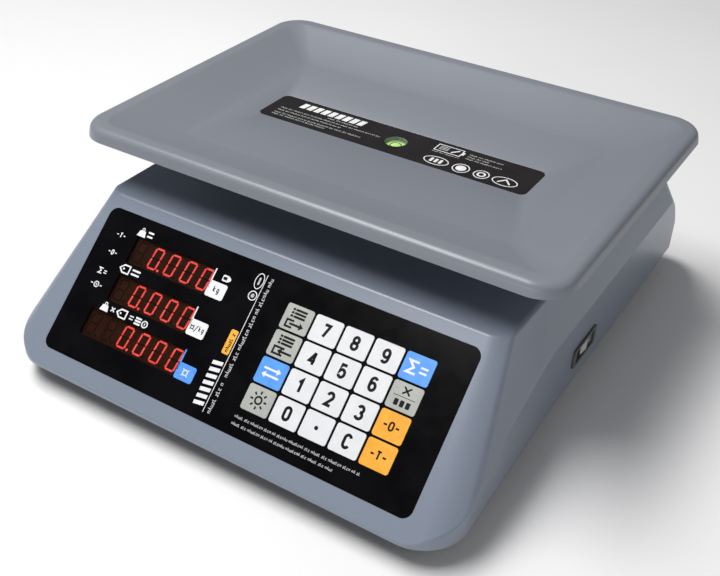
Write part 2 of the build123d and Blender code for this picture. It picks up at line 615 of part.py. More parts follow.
def pan_support():
    """Cast cross that carries the pan, standing on the cell's free end."""
    support = block((33, 11, CELL_HIGH_Z), (65, 39, 73))
    support += block((-26, 9, 72), (65, 41, 82))
    support += slab(Plane.XY, PAN_CENTRE, COLUMN_SIZE, 81, ARM_HIGH_Z, 6)
    turn = degrees(atan2(PAD_Y, PAD_X))
    reach = 2 * hypot(PAD_X, PAD_Y)
    for angle in (turn, -turn):
        along = Plane.XY * Pos(*PAN_CENTRE) * Rot(0, 0, angle)
        support += slab(along, (0, 0), (reach, 22), ARM_LOW_Z, ARM_HIGH_Z)
        support += slab(along, (0, 0), (reach, 4), ARM_HIGH_Z, ARM_HIGH_Z + 3)
    support += post(*PAN_CENTRE, ARM_LOW_Z, 112, 14)
    pads = four_corners(PAD_X, PAD_Y, PAN_CENTRE)
    support += Part() + [post(x, y, ARM_LOW_Z, 110, 13) for x, y in pads]
    support -= Part() + [post(x, y, PAD_LOW_Z, 111, PAD_RADIUS + 0.2) for x, y in pads]
    support -= post(*PAN_CENTRE, VIAL_LOW_Z, 113, VIAL_RADIUS + 0.2)
    return support - (Part() + [post(x, PAN_CENTRE_Y, 60, 90, BOLT_HOLE_RADIUS) for x in FREE_BOLTS_X])


def support_pads():
    places = four_corners(PAD_X, PAD_Y, PAN_CENTRE)
    return Compound(children=[post(x, y, PAD_LOW_Z, PAN_UNDER_Z, PAD_RADIUS) for x, y in places])


def level_vial():
    """Bull's-eye level: a clear cup, seen through the hole in the pan."""
    cup = post(*PAN_CENTRE, VIAL_LOW_Z, VIAL_HIGH_Z, VIAL_RADIUS)
    return cup - post(*PAN_CENTRE, VIAL_LOW_Z + 2, VIAL_HIGH_Z - 1.5, 8.0)


def level_fluid():
    return post(*PAN_CENTRE, VIAL_LOW_Z + 2.05, VIAL_HIGH_Z - 1.55, 7.95)


def pan_outline(width, depth, radius, z):
    return Pos(0, PAN_CENTRE_Y, z) * RectangleRounded(width, depth, radius)


def pan_form(low, high):
    """A ruled solid between two rounded rectangles, each (width, depth, radius, z)."""
    return loft([pan_outline(*low), pan_outline(*high)], ruled=True)


def weighing_pan():
    """Lift-off pan: flat rim and skirt around a shallow basin with mitred sides."""
    top_width = PAN_WIDTH - 2 * PAN_DRAFT
    top_depth = PAN_DEPTH - 2 * PAN_DRAFT
    mouth_width = top_width - 2 * PAN_RIM_WIDTH
    mouth_depth = top_depth - 2 * PAN_RIM_WIDTH
    skirt = pan_form(
        (PAN_WIDTH, PAN_DEPTH, PAN_RADIUS, PAN_SKIRT_Z),
        (top_width, top_depth, PAN_RADIUS - 1, PAN_RIM_Z),
    )
    skirt = fillet([e for e in skirt.edges() if e.center().Z > PAN_RIM_Z - 0.1], PAN_EDGE_RADIUS)
    skirt -= pan_form(
        (PAN_WIDTH - 5, PAN_DEPTH - 5, PAN_RADIUS - 2.5, PAN_SKIRT_Z - 1),
        (top_width - 9, top_depth - 9, PAN_RADIUS - 5.5, PAN_RIM_Z - PAN_WALL),
    )
    rise = PAN_RIM_Z - PAN_FLOOR_Z
    basin = pan_form(
        (PAN_FLOOR_WIDTH + PAN_WALL, PAN_FLOOR_DEPTH + PAN_WALL, PAN_FLOOR_RADIUS, PAN_UNDER_Z),
        (mouth_width + PAN_WALL, mouth_depth + PAN_WALL, PAN_MOUTH_RADIUS, PAN_UNDER_Z + rise),
    )
    hollow = pan_form(
        (PAN_FLOOR_WIDTH, PAN_FLOOR_DEPTH, PAN_FLOOR_RADIUS, PAN_FLOOR_Z),
        (mouth_width, mouth_depth, PAN_MOUTH_RADIUS, PAN_RIM_Z + 0.01),
    )
    pan = skirt + basin - hollow
    pocket = (LABEL_WIDTH + 0.3, LABEL_DEPTH + 0.3)
    pan -= slab(Plane.XY, PAN_CENTRE, pocket, PAN_FLOOR_Z - LABEL_THICKNESS, PAN_FLOOR_Z + 1, 4.6)
    return pan - post(*PAN_CENTRE, PAN_UNDER_Z - 1, PAN_FLOOR_Z + 1, SIGHT_HOLE_RADIUS)


def pan_label():
    low = PAN_FLOOR_Z - LABEL_THICKNESS
    label = slab(Plane.XY, PAN_CENTRE, (LABEL_WIDTH, LABEL_DEPTH), low, PAN_FLOOR_Z, 4.5)
    return label - post(*PAN_CENTRE, low - 1, PAN_FLOOR_Z + 1, SIGHT_HOLE_RADIUS)


# ---- Feet ------------------------------------------------------------------------------------
def foot_pad(x, y):
    """Soft pad that stays still while the foot's screw turns in it."""
    pad = post(x, y, 0, FOOT_PAD_Z, FOOT_PAD_RADIUS)
    pad = chamfer([e for e in pad.edges() if e.center().Z > FOOT_PAD_Z - 0.1], 1.2)
    return pad - post(x, y, FOOT_SPIGOT_Z, FOOT_PAD_Z + 1, FOOT_SPIGOT_RADIUS + 0.4)


def foot_screw(x, y):
    """Threaded stud with a scalloped hand wheel and a spigot that stands in the pad."""
    wheel = post(x, y, FOOT_PAD_Z, BASE_Z, FOOT_WHEEL_RADIUS)
    scallop = Pos(FOOT_WHEEL_RADIUS + 1.1, 0, 0) * Cylinder(2.2, 6)
    wheel -= Part() + [Pos(x, y, 6) * Rot(0, 0, 30 * i) * scallop for i in range(12)]
    wheel += post(x, y, FOOT_SPIGOT_Z, FOOT_PAD_Z, FOOT_SPIGOT_RADIUS)
    return wheel + post(x, y, BASE_Z, FOOT_STUD_TOP_Z, FOOT_STUD_RADIUS)


# ---- Wiring ----------------------------------------------------------------------------------
def cell_cable():
    """Round lead from the load cell's fixed end to the main board."""
    route = [(-50, 10, 50), (-50, -10, 50), (-39, -35, 44), (-39, -35, 27.6)]
    path = FilletPolyline(*route, radius=8)
    return sweep(Plane(origin=path @ 0, z_dir=path % 0) * Circle(1.8), path)


def panel_ribbon():
    """Flat ribbon from the main board up to the display board."""
    end = PANEL.from_local_coords((-42.0, -11.0, DISPLAY_BOARD_TOP - BOARD_THICKNESS - 4.2))
    route = [(-31, -76, 27.8), (-31, -76, 44), (-31, end.Y + 9, 58), (-31, end.Y, end.Z - 2)]
    path = FilletPolyline(*route, radius=6)
    return sweep(Plane(origin=path @ 0, x_dir=(1, 0, 0), z_dir=path % 0) * Rectangle(18, 0.6), path)


# ---- Output ----------------------------------------------------------------------------------
def write(name, shape):
    export_step(shape, f"parts/{name}.step")


def main():
    os.makedirs("parts", exist_ok=True)
    write("top_cover", top_cover())
    write("base_shell", base_shell())
    write("battery_door", battery_door())
    write("cover_screws", cover_screws())
    write("front_overlay", front_overlay())
    write("display_filter", display_filter())
    write("front_digits", digit_modules(PANEL, FRONT_ROWS))
    write("display_board", display_board())
    write("keypad_board", keypad_board())
    write("rear_overlay", rear_overlay())
    write("rear_filter", rear_filter())
    write("rear_digits", digit_modules(REAR_PANEL, REAR_ROWS))
    write("rear_board", rear_board())
    write("main_board", main_board())
    write("board_screws", board_screws())
    write("battery", battery())
    write("power_inlet", power_inlet())
    write("switch_bezel", switch_bezel())
    write("power_rocker", power_rocker())
    write("cell_frame", cell_frame())
    write("load_cell", load_cell())
    write("cell_lower_screws", cell_lower_screws())
    write("cell_upper_screws", cell_upper_screws())
    write("overload_stop", overload_stop())
    write("pan_support", pan_support())
    write("support_pads", support_pads())
    write("level_vial", level_vial())
    write("level_fluid", level_fluid())
    write("weighing_pan", weighing_pan())
    write("pan_label", pan_label())
    write("cell_cable", cell_cable())
    write("panel_ribbon", panel_ribbon())
    for name, centre in key_places():
        write(name, key(centre))
    for name, place in FEET.items():
        write(f"foot_pad_{name}", foot_pad(*place))
        write(f"foot_screw_{name}", foot_screw(*place))


main()
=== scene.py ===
import json
from math import cos, radians, sin, tan

import bmesh
import bpy
from mathutils import Matrix, Vector

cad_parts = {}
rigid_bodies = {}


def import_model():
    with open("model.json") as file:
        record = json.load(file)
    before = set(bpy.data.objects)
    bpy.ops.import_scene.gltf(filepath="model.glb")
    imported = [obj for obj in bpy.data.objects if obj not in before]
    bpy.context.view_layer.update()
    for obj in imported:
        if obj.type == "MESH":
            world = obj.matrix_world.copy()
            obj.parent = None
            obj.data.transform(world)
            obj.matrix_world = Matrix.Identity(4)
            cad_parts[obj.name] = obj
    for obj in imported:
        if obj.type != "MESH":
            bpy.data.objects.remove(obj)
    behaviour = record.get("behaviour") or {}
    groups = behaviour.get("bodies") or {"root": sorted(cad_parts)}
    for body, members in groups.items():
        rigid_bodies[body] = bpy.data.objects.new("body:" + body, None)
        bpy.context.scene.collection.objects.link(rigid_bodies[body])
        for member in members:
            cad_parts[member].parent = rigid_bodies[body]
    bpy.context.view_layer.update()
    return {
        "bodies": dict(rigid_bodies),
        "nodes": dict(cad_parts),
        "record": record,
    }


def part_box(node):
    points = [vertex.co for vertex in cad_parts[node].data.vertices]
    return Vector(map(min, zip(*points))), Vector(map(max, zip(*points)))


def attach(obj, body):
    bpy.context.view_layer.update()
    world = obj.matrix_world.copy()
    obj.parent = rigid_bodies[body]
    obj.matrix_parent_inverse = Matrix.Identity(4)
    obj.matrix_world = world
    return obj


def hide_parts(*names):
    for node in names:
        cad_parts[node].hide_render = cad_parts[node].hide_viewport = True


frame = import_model()
nodes = frame["nodes"]

# Looks of a counter-top counting scale, built round its CAD parts. Everything is in metres in
# the CAD frame: +X is the operator's right, +Y is away from the operator, +Z is up.
MM = 0.001
RIGHT = Vector((1, 0, 0))
UP = Vector((0, 0, 1))

bpy.context.scene.view_settings.view_transform = "Standard"


# ---- Colours and materials -------------------------------------------------------------------
def rgb(red, green, blue):
    """A colour given in display values from 0 to 255, as linear light."""
    scaled = [value / 255 for value in (red, green, blue)]
    linear = [v / 12.92 if v <= 0.04045 else ((v + 0.055) / 1.055) ** 2.4 for v in scaled]
    return (*linear, 1.0)


def noise(tree, place, size, detail=3.0):
    """The value of a noise whose features are about size metres across."""
    node = tree.nodes.new("ShaderNodeTexNoise")
    node.inputs["Scale"].default_value = 1 / size
    node.inputs["Detail"].default_value = detail
    tree.links.new(place.outputs["Object"], node.inputs["Vector"])
    return node.outputs["Fac"]


def ramp(tree, value, stops):
    """A colour ramp on a value, with stops of (position, colour)."""
    node = tree.nodes.new("ShaderNodeValToRGB")
    first, last = node.color_ramp.elements
    first.position, first.color = stops[0]
    last.position, last.color = stops[-1]
    for position, colour in stops[1:-1]:
        node.color_ramp.elements.new(position).color = colour
    tree.links.new(value, node.inputs["Fac"])
    return node.outputs["Color"]


# Noise values crowd round their middle. These are the spans of them that are used in full.
COLOUR_SPAN = (0.38, 0.62)
ROUGH_SPAN = (0.3, 0.7)
FLECK_EDGE = 0.02


def surface(name, dark, light, patch, rough, grain, relief, flecks=None, glow=None, **sockets):
    """A procedural finish: patches of colour between dark and light, a roughness that wanders
    between two values, and a grain of the given size and relief. Flecks are (size, share, colour)
    of small marks, and glow is a pair of colours that the surface sends out."""
    material = bpy.data.materials.new(name)
    material.use_nodes = True
    tree = material.node_tree
    shader = tree.nodes["Principled BSDF"]
    place = tree.nodes.new("ShaderNodeTexCoord")
    first, last = COLOUR_SPAN
    colour = ramp(tree, noise(tree, place, patch), [(first, dark), (last, light)])
    if flecks:
        size, share, fleck = flecks
        black, white = (0, 0, 0, 1), (1, 1, 1, 1)
        edge = 1 - share
        stops = [(edge, black), (edge + FLECK_EDGE, white)]
        mask = ramp(tree, noise(tree, place, size, 1.0), stops)
        mix = tree.nodes.new("ShaderNodeMix")
        mix.data_type = "RGBA"
        tree.links.new(mask, mix.inputs["Factor"])
        tree.links.new(colour, mix.inputs["A"])
        mix.inputs["B"].default_value = fleck
        colour = mix.outputs["Result"]
    tree.links.new(colour, shader.inputs["Base Color"])
    if glow:
        lit = ramp(tree, noise(tree, place, patch), [(first, glow[0]), (last, glow[1])])
        tree.links.new(lit, shader.inputs["Emission Color"])
    wander = tree.nodes.new("ShaderNodeMapRange")
    wander.inputs["From Min"].default_value, wander.inputs["From Max"].default_value = ROUGH_SPAN
    wander.inputs["To Min"].default_value, wander.inputs["To Max"].default_value = rough
    tree.links.new(noise(tree, place, patch * 0.4), wander.inputs["Value"])
    tree.links.new(wander.outputs["Result"], shader.inputs["Roughness"])
    bump = tree.nodes.new("ShaderNodeBump")
    bump.inputs["Distance"].default_value = relief
    tree.links.new(noise(tree, place, grain), bump.inputs["Height"])
    tree.links.new(bump.outputs["Normal"], shader.inputs["Normal"])
    for socket, value in sockets.items():
        shader.inputs[socket.replace("_", " ")].default_value = value
    return material


SATIN_GRAIN = 0.7 * MM
SATIN_RELIEF = 0.012 * MM
FINE_GRAIN = 0.25 * MM
FINE_RELIEF = 0.003 * MM

HOUSING = surface(
    "slate_housing", rgb(128, 137, 152), rgb(131, 140, 155), 180 * MM, (0.28, 0.32), SATIN_GRAIN,
    SATIN_RELIEF)
PAN = surface(
    "slate_pan", rgb(127, 132, 141), rgb(130, 135, 145), 180 * MM, (0.32, 0.36), SATIN_GRAIN,
    SATIN_RELIEF)
BASE = surface(
    "dark_base", rgb(58, 61, 67), rgb(64, 67, 73), 30 * MM, (0.5, 0.6), SATIN_GRAIN, 0.03 * MM)
SCREW_STEEL = surface(
    "zinc_steel", rgb(168, 168, 170), rgb(198, 198, 198), 3 * MM, (0.25, 0.38), FINE_GRAIN,
    FINE_RELIEF, Metallic=1.0)
OVERLAY = surface(
    "overlay_film", rgb(9, 9, 11), rgb(14, 14, 16), 20 * MM, (0.16, 0.24), 1.5 * MM, FINE_RELIEF,
    Specular_IOR_Level=0.07)
FILTER = surface(
    "smoked_filter", rgb(26, 13, 9), rgb(34, 18, 12), 15 * MM, (0.14, 0.2), 2 * MM, FINE_RELIEF,
    Specular_IOR_Level=0.12, Alpha=0.44)
MODULE = surface(
    "digit_module", rgb(104, 56, 24), rgb(122, 66, 28), 9 * MM, (0.4, 0.5), FINE_GRAIN, FINE_RELIEF)
BOARD = surface(
    "circuit_board", rgb(18, 84, 46), rgb(30, 108, 60), 4 * MM, (0.3, 0.45), 0.8 * MM, 0.03 * MM,
    flecks=(2.2 * MM, 0.36, rgb(184, 178, 140)))
BATTERY = surface(
    "battery_case", rgb(38, 38, 41), rgb(48, 48, 51), 18 * MM, (0.45, 0.6), SATIN_GRAIN, 0.03 * MM)
SOCKET = surface(
    "socket_nylon", rgb(20, 20, 21), rgb(29, 29, 30), 6 * MM, (0.3, 0.4), FINE_GRAIN, FINE_RELIEF)
SWITCH = surface(
    "switch_nylon", rgb(84, 84, 81), rgb(94, 94, 90), 8 * MM, (0.34, 0.44), FINE_GRAIN, FINE_RELIEF)
ROCKER_GREY = surface(
    "rocker_grey", rgb(196, 195, 190), rgb(206, 205, 200), 5 * MM, (0.34, 0.44), FINE_GRAIN,
    FINE_RELIEF)
CAST = surface(
    "cast_aluminium", rgb(164, 165, 167), rgb(178, 179, 180), 24 * MM, (0.48, 0.58), 0.8 * MM,
    0.03 * MM, Metallic=0.9)
MACHINED = surface(
    "machined_aluminium", rgb(196, 198, 201), rgb(222, 223, 225), 5 * MM, (0.22, 0.36), 0.4 * MM,
    0.01 * MM, Metallic=1.0)
RUBBER = surface(
    "pad_rubber", rgb(24, 24, 25), rgb(37, 37, 38), 7 * MM, (0.7, 0.85), 0.5 * MM, 0.05 * MM)
VIAL = surface(
    "vial_acrylic", rgb(214, 235, 190), rgb(236, 246, 220), 5 * MM, (0.06, 0.12), 2 * MM, FINE_RELIEF,
    Alpha=0.3)
# The level's liquid is made to glow a little though it is no lamp: a painted light that keeps it
# bright down in its shaded sight hole.
LIQUID = surface(
    "level_liquid", rgb(146, 208, 30), rgb(182, 232, 66), 5 * MM, (0.08, 0.14), 2 * MM, FINE_RELIEF,
    glow=(rgb(120, 190, 10), rgb(160, 220, 40)), Emission_Strength=0.6)
# The air bubble is a real part of the level, but its pale colour is a painted highlight on the
# liquid.
BUBBLE_PAINTED_HIGHLIGHT = surface(
    "level_bubble_highlight", rgb(208, 240, 140), rgb(236, 250, 196), 2 * MM, (0.05, 0.1), 1 * MM, FINE_RELIEF)
LABEL = surface(
    "label_film", rgb(30, 27, 28), rgb(37, 33, 34), 14 * MM, (0.3, 0.4), 0.9 * MM, FINE_RELIEF,
    Specular_IOR_Level=0.25)
CABLE = surface(
    "cable_sheath", rgb(128, 128, 130), rgb(146, 146, 148), 5 * MM, (0.45, 0.55), 0.5 * MM, 0.02 * MM)
WHITE_KEY = surface(
    "key_white", rgb(226, 227, 230), rgb(231, 232, 235), 7 * MM, (0.32, 0.4), FINE_GRAIN, FINE_RELIEF,
    Specular_IOR_Level=0.35)
GREY_KEY = surface(
    "key_grey", rgb(173, 176, 170), rgb(181, 184, 178), 7 * MM, (0.32, 0.4), FINE_GRAIN, FINE_RELIEF,
    Specular_IOR_Level=0.35)
BLUE_KEY = surface(
    "key_blue", rgb(86, 156, 246), rgb(97, 166, 252), 7 * MM, (0.32, 0.4), FINE_GRAIN, FINE_RELIEF,
    Specular_IOR_Level=0.35)
ORANGE_KEY = surface(
    "key_orange", rgb(247, 170, 52), rgb(252, 180, 64), 7 * MM, (0.32, 0.4), FINE_GRAIN, FINE_RELIEF,
    Specular_IOR_Level=0.35)
FOOT = surface(
    "foot_nylon", rgb(24, 24, 26), rgb(34, 34, 36), 6 * MM, (0.4, 0.5), FINE_GRAIN, FINE_RELIEF)
WHITE_INK = surface(
    "white_ink", rgb(228, 230, 232), rgb(244, 245, 246), 3 * MM, (0.4, 0.5), FINE_GRAIN, FINE_RELIEF)
PALE_INK = surface(
    "pale_ink", rgb(176, 176, 178), rgb(204, 204, 206), 1.5 * MM, (0.4, 0.5), FINE_GRAIN, FINE_RELIEF)
BLACK_INK = surface(
    "black_ink", rgb(7, 7, 8), rgb(12, 12, 13), 3 * MM, (0.35, 0.45), FINE_GRAIN, FINE_RELIEF,
    Specular_IOR_Level=0.2)
BLUE_INK = surface(
    "blue_ink", rgb(78, 150, 246), rgb(92, 162, 252), 4 * MM, (0.35, 0.45), FINE_GRAIN, FINE_RELIEF)
YELLOW_INK = surface(
    "yellow_ink", rgb(243, 172, 48), rgb(250, 184, 62), 4 * MM, (0.35, 0.45), FINE_GRAIN, FINE_RELIEF)
LIT_RED = surface(
    "segment_lit", rgb(200, 60, 55), rgb(220, 70, 66), 2 * MM, (0.4, 0.5), FINE_GRAIN, FINE_RELIEF,
    glow=(rgb(246, 66, 62), rgb(255, 96, 92)), Emission_Strength=3.0)
DARK_SEGMENT = surface(
    "segment_dark", rgb(36, 22, 15), rgb(44, 27, 18), 2 * MM, (0.4, 0.5), FINE_GRAIN, FINE_RELIEF)
FLOOR = surface(
    "pale_floor", rgb(246, 246, 247), rgb(249, 249, 250), 0.4, (0.6, 0.7), 2 * MM, FINE_RELIEF,
    Specular_IOR_Level=0.2)

SLOT_FINISH = {
    "housing_plastic": HOUSING,
    "base_plastic": BASE,
    "screw_steel": SCREW_STEEL,
    "overlay_film": OVERLAY,
    "smoked_filter": FILTER,
    "digit_module": MODULE,
    "circuit_board": BOARD,
    "battery_case": BATTERY,
    "socket_plastic": SOCKET,
    "switch_plastic": SWITCH,
    "cast_aluminium": CAST,
    "cell_aluminium": MACHINED,
    "pad_rubber": RUBBER,
    "vial_clear": VIAL,
    "level_liquid": LIQUID,
    "pan_plastic": PAN,
    "label_film": LABEL,
    "cable_sheath": CABLE,
    "key_white": WHITE_KEY,
    "key_grey": GREY_KEY,
    "key_blue": BLUE_KEY,
    "key_orange": ORANGE_KEY,
    "foot_plastic": FOOT,
}
NODE_SLOT = {part["node"]: part["material_slot"] for part in frame["record"]["subparts"]}
for node_name, slot_name in NODE_SLOT.items():
    nodes[node_name].data.materials[0] = SLOT_FINISH[slot_name]


# ---- Places taken from the CAD parts ---------------------------------------------------------
FACING = 0.95
WELD = 0.001 * MM


def node_points(node):
    """The places of a node's vertices."""
    return [v.co for v in nodes[node].data.vertices]


def surface_plane(node, toward, across):
    """The plane of a node's largest face that looks toward a direction: local X runs across,
    local Z points out, and the origin is over the middle of the node."""
    toward = Vector(toward).normalized()
    facing = [p for p in nodes[node].data.polygons if p.normal.dot(toward) > FACING]
    out = max(facing, key=lambda p: p.area).normal.normalized()
    across = (across - out * across.dot(out)).normalized()
    along = out.cross(across)
    points = node_points(node)
    spans = [[p.dot(axis) for p in points] for axis in (across, along)]
    middle = [(min(span) + max(span)) / 2 for span in spans]
    height = max(p.dot(out) for p in points)
    origin = across * middle[0] + along * middle[1] + out * height
    turn = Matrix((across, along, out)).transposed()
    return Matrix.Translation(origin) @ turn.to_4x4()


def local_box(points, plane):
    """Lowest and highest corner of some points, measured in a plane's own axes."""
    inverse = plane.inverted()
    local = [inverse @ p for p in points]
    low = Vector([min(p[i] for p in local) for i in range(3)])
    high = Vector([max(p[i] for p in local) for i in range(3)])
    return low, high


def separate_solids(node):
    """The points of each separate solid in a node."""
    shape = bmesh.new()
    shape.from_mesh(nodes[node].data)
    bmesh.ops.remove_doubles(shape, verts=shape.verts, dist=WELD)
    seen = set()
    solids = []
    for start in shape.verts:
        if start in seen:
            continue
        seen.add(start)
        group, stack = [], [start]
        while stack:
            vertex = stack.pop()
            group.append(vertex.co.copy())
            for edge in vertex.link_edges:
                other = edge.other_vert(vertex)
                if other not in seen:
                    seen.add(other)
                    stack.append(other)
        solids.append(group)
    shape.free()
    return solids


KEYS = [body for body in frame["bodies"] if body.startswith("key_")]
PANEL_FACES = (0, -0.66, 0.75)
REAR_PANEL_FACES = (0, 0.9, 0.43)
overlay_plane = surface_plane("front_overlay", PANEL_FACES, RIGHT)
top_key_low, top_key_high = local_box(node_points("key_7"), overlay_plane)
# The panel's drawing starts level with the middle of the top row of keys.
PANEL = overlay_plane @ Matrix.Translation((0, (top_key_low.y + top_key_high.y) / 2, 0))
REAR_PANEL = surface_plane("rear_overlay", REAR_PANEL_FACES, -RIGHT)
LABEL_TOP = surface_plane("pan_label", UP, RIGHT)
VIAL_TOP = surface_plane("level_vial", UP, RIGHT)
ROCKER_TOP = surface_plane("power_rocker", RIGHT, Vector((0, 1, 0)))


# ---- Drawing ---------------------------------------------------------------------------------
MITRE_LIMIT = 0.3
FULL_TURN = 360


def rounded(half_u, half_v, radius, steps=5, centre=(0.0, 0.0)):
    """Points round a rectangle with rounded corners, anticlockwise from the right-hand side."""
    points = []
    for corner in range(4):
        side_u = 1 if corner in (0, 3) else -1
        side_v = 1 if corner < 2 else -1
        for step in range(steps + 1):
            angle = radians(90 * (corner + step / steps))
            u = side_u * (half_u - radius) + radius * cos(angle)
            v = side_v * (half_v - radius) + radius * sin(angle)
            points.append((centre[0] + u, centre[1] + v))
    return points


def oval(centre, half_u, half_v, steps=28):
    """Points round an oval, anticlockwise from the right-hand side."""
    angles = [radians(FULL_TURN * step / steps) for step in range(steps)]
    return [(centre[0] + half_u * cos(a), centre[1] + half_v * sin(a)) for a in angles]


def arc(centre, half_u, half_v, start, end, steps=16):
    """Points along part of an oval, between two angles in degrees."""
    angles = [radians(start + (end - start) * step / steps) for step in range(steps + 1)]
    return [(centre[0] + half_u * cos(a), centre[1] + half_v * sin(a)) for a in angles]


def offset_line(points, distance, closed):
    """A line beside a line, with its corners mitred."""
    count = len(points)
    result = []
    for i, point in enumerate(points):
        here = Vector(point)
        sides = []
        if closed or i > 0:
            sides.append((here - Vector(points[i - 1])).normalized())
        if closed or i < count - 1:
            sides.append((Vector(points[(i + 1) % count]) - here).normalized())
        normals = [Vector((-side.y, side.x)) for side in sides]
        normal = (normals[0] + normals[-1]).normalized()
        result.append(tuple(here + normal * distance / max(normal.dot(normals[0]), MITRE_LIMIT)))
    return result


# Centre lines of plain characters, between -1 and 1 both ways, each with whether it is closed.
NINE_LOOP = oval((0, 0.4), 1, 0.6, 24)
NINE_TAIL = [(1, 0.4)] + arc((0, -0.4), 1, 0.6, 0, -145)
CHARACTERS = {
    "0": ((arc((0, 0.45), 1, 0.55, 0, 180) + arc((0, -0.45), 1, 0.55, 180, 360), True),),
    "1": (([(-0.75, 0.5), (0.2, 1), (0.2, -1)], False),),
    "2": ((arc((0, 0.45), 1, 0.55, 172, -32) + [(-0.95, -1), (1, -1)], False),),
    "3": (
        (arc((-0.1, 0.5), 0.95, 0.5, 160, -90), False),
        (arc((-0.1, -0.47), 1.1, 0.53, 90, -160), False),
    ),
    "4": (([(0.42, -1), (0.42, 1)], False), ([(0.42, 1), (-1, -0.42), (1, -0.42)], False)),
    "5": (
        ([(0.85, 1), (-0.72, 1), (-0.85, -0.02)] + arc((-0.05, -0.38), 1.05, 0.62, 125, -155), False),
    ),
    "6": (
        ([(-u, -v) for u, v in NINE_LOOP], True),
        ([(-u, -v) for u, v in NINE_TAIL], False),
    ),
    "7": (([(-1, 1), (1, 1), (-0.25, -1)], False),),
    "8": ((oval((0, 0.5), 0.88, 0.5, 24), True), (oval((0, -0.46), 1, 0.54, 24), True)),
    "9": ((NINE_LOOP, True), (NINE_TAIL, False)),
    "C": ((arc((0, 0.42), 1, 0.58, 20, 180) + arc((0, -0.42), 1, 0.58, 180, 340), False),),
    "T": (([(-1, 1), (1, 1)], False), ([(0, 1), (0, -1)], False)),
    "g": (
        ([(1, 1), (-0.5, 1), (-1, 0.62), (-1, 0.06), (-0.5, -0.3), (1, -0.3)], False),
        ([(1, 1), (1, -0.6), (0.5, -1), (-0.9, -1)], False),
    ),
    "k": (([(-1, 1), (-1, -1)], False), ([(0.85, 0.3), (-0.75, -0.35), (1, -1)], False)),
}
# Shapes that stand for single letters of small print: U from 0 to 1, V from 0 to 1.
SMALL_SHAPES = (
    [(0, 0), (0, 0.62), (1, 0.62), (1, 0)],
    [(1, 0.6), (0, 0.6), (0, 0), (1, 0)],
    [(0, 1), (0, 0), (0.8, 0)],
    [(0, 0.62), (1, 0.62), (0, 0), (1, 0)],
    [(0, 0.62), (0, 0), (1, 0), (1, 0.62)],
    [(0, 0), (0.5, 0.9), (1, 0)],
)
WORD_LENGTHS = (5, 3, 7, 4, 2, 6, 8, 3)


class Ink:
    """Printed shapes of one colour on one plane, in millimetres. They stand a hair proud of the
    surface and sink a hair into it, so each is a closed solid."""

    SINK = 0.04
    RISE = 0.05
    WELD = 0.0002 * MM

    def __init__(self, plane):
        self.plane = plane
        self.points = []
        self.faces = []

    def solid(self, outline):
        """A filled shape without holes."""
        base, count = len(self.points), len(outline)
        self.points += [(u, v, -self.SINK) for u, v in outline]
        self.points += [(u, v, self.RISE) for u, v in outline]
        self.faces.append([base + i for i in reversed(range(count))])
        self.faces.append([base + count + i for i in range(count)])
        for i in range(count):
            after = (i + 1) % count
            self.faces.append([base + i, base + after, base + count + after, base + count + i])

    def band(self, outer, inner):
        """A closed band between two outlines with as many points."""
        base, count = len(self.points), len(outer)
        for outline in (outer, inner):
            self.points += [(u, v, -self.SINK) for u, v in outline]
            self.points += [(u, v, self.RISE) for u, v in outline]
        rings = [base + ring * count for ring in (0, 1, 3, 2)]
        for ring in range(4):
            here, there = rings[ring], rings[(ring + 1) % 4]
            for i in range(count):
                after = (i + 1) % count
                self.faces.append([here + i, here + after, there + after, there + i])

    def stroke(self, points, width, closed=False):
        """A line of the given width."""
        left = offset_line(points, width / 2, closed)
        right = offset_line(points, -width / 2, closed)
        if closed:
            self.band(left, right)
        else:
            self.solid(left + right[::-1])

    def bar(self, centre, size, radius=0.0):
        """A filled rectangle, with rounded corners if it has a radius."""
        if radius:
            self.solid(rounded(size[0] / 2, size[1] / 2, radius, centre=centre))
        else:
            u, v = size[0] / 2, size[1] / 2
            corners = ((u, v), (-u, v), (-u, -v), (u, -v))
            self.solid([(centre[0] + a, centre[1] + b) for a, b in corners])

    def ring(self, centre, radius, weight):
        """A round band, weight wide."""
        inside = radius - weight
        self.band(oval(centre, radius, radius), oval(centre, inside, inside))

    def rays(self, centre, start, end, weight, angles):
        """Short lines that point away from a centre, at angles in degrees."""
        for angle in angles:
            way = Vector((cos(radians(angle)), sin(radians(angle))))
            line = [tuple(Vector(centre) + way * reach) for reach in (start, end)]
            self.stroke(line, weight)

    def character(self, name, centre, size, weight):
        """One bold condensed character, size wide and tall over its strokes."""
        half_u, half_v = [(side - weight) / 2 for side in size]
        for line, closed in CHARACTERS[name]:
            points = [(centre[0] + u * half_u, centre[1] + v * half_v) for u, v in line]
            self.stroke(points, weight, closed)

    def text_line(self, start, end, height):
        """A line of meaningless small print, grouped like words. It runs along U or V."""
        start, end = Vector(start), Vector(end)
        along = (end - start).normalized()
        across = Vector((-along.y, along.x))
        wide, gap, weight = height * 0.46, height * 0.34, height * 0.2
        length = (end - start).length
        place, word, letter = 0.0, 0, 0
        while place + wide <= length:
            shape = SMALL_SHAPES[(letter * 5 + word * 3) % len(SMALL_SHAPES)]
            corner = start + along * place - across * height / 2
            line = [tuple(corner + along * u * wide + across * v * height) for u, v in shape]
            self.stroke(line, weight)
            place += wide + gap
            letter += 1
            if letter == WORD_LENGTHS[word % len(WORD_LENGTHS)]:
                place += height * 0.5
                word, letter = word + 1, 0

    def piece(self, name, material, body, slot, level=0.0):
        """Makes the drawing one piece, level millimetres above its plane, riding on a body."""
        mesh = bpy.data.meshes.new(name)
        places = [self.plane @ (Vector((u, v, w + level)) * MM) for u, v, w in self.points]
        mesh.from_pydata(places, [], self.faces)
        shape = bmesh.new()
        shape.from_mesh(mesh)
        bmesh.ops.remove_doubles(shape, verts=shape.verts, dist=self.WELD)
        bmesh.ops.recalc_face_normals(shape, faces=shape.faces)
        shape.to_mesh(mesh)
        shape.free()
        return add_piece(name, mesh, material, body)


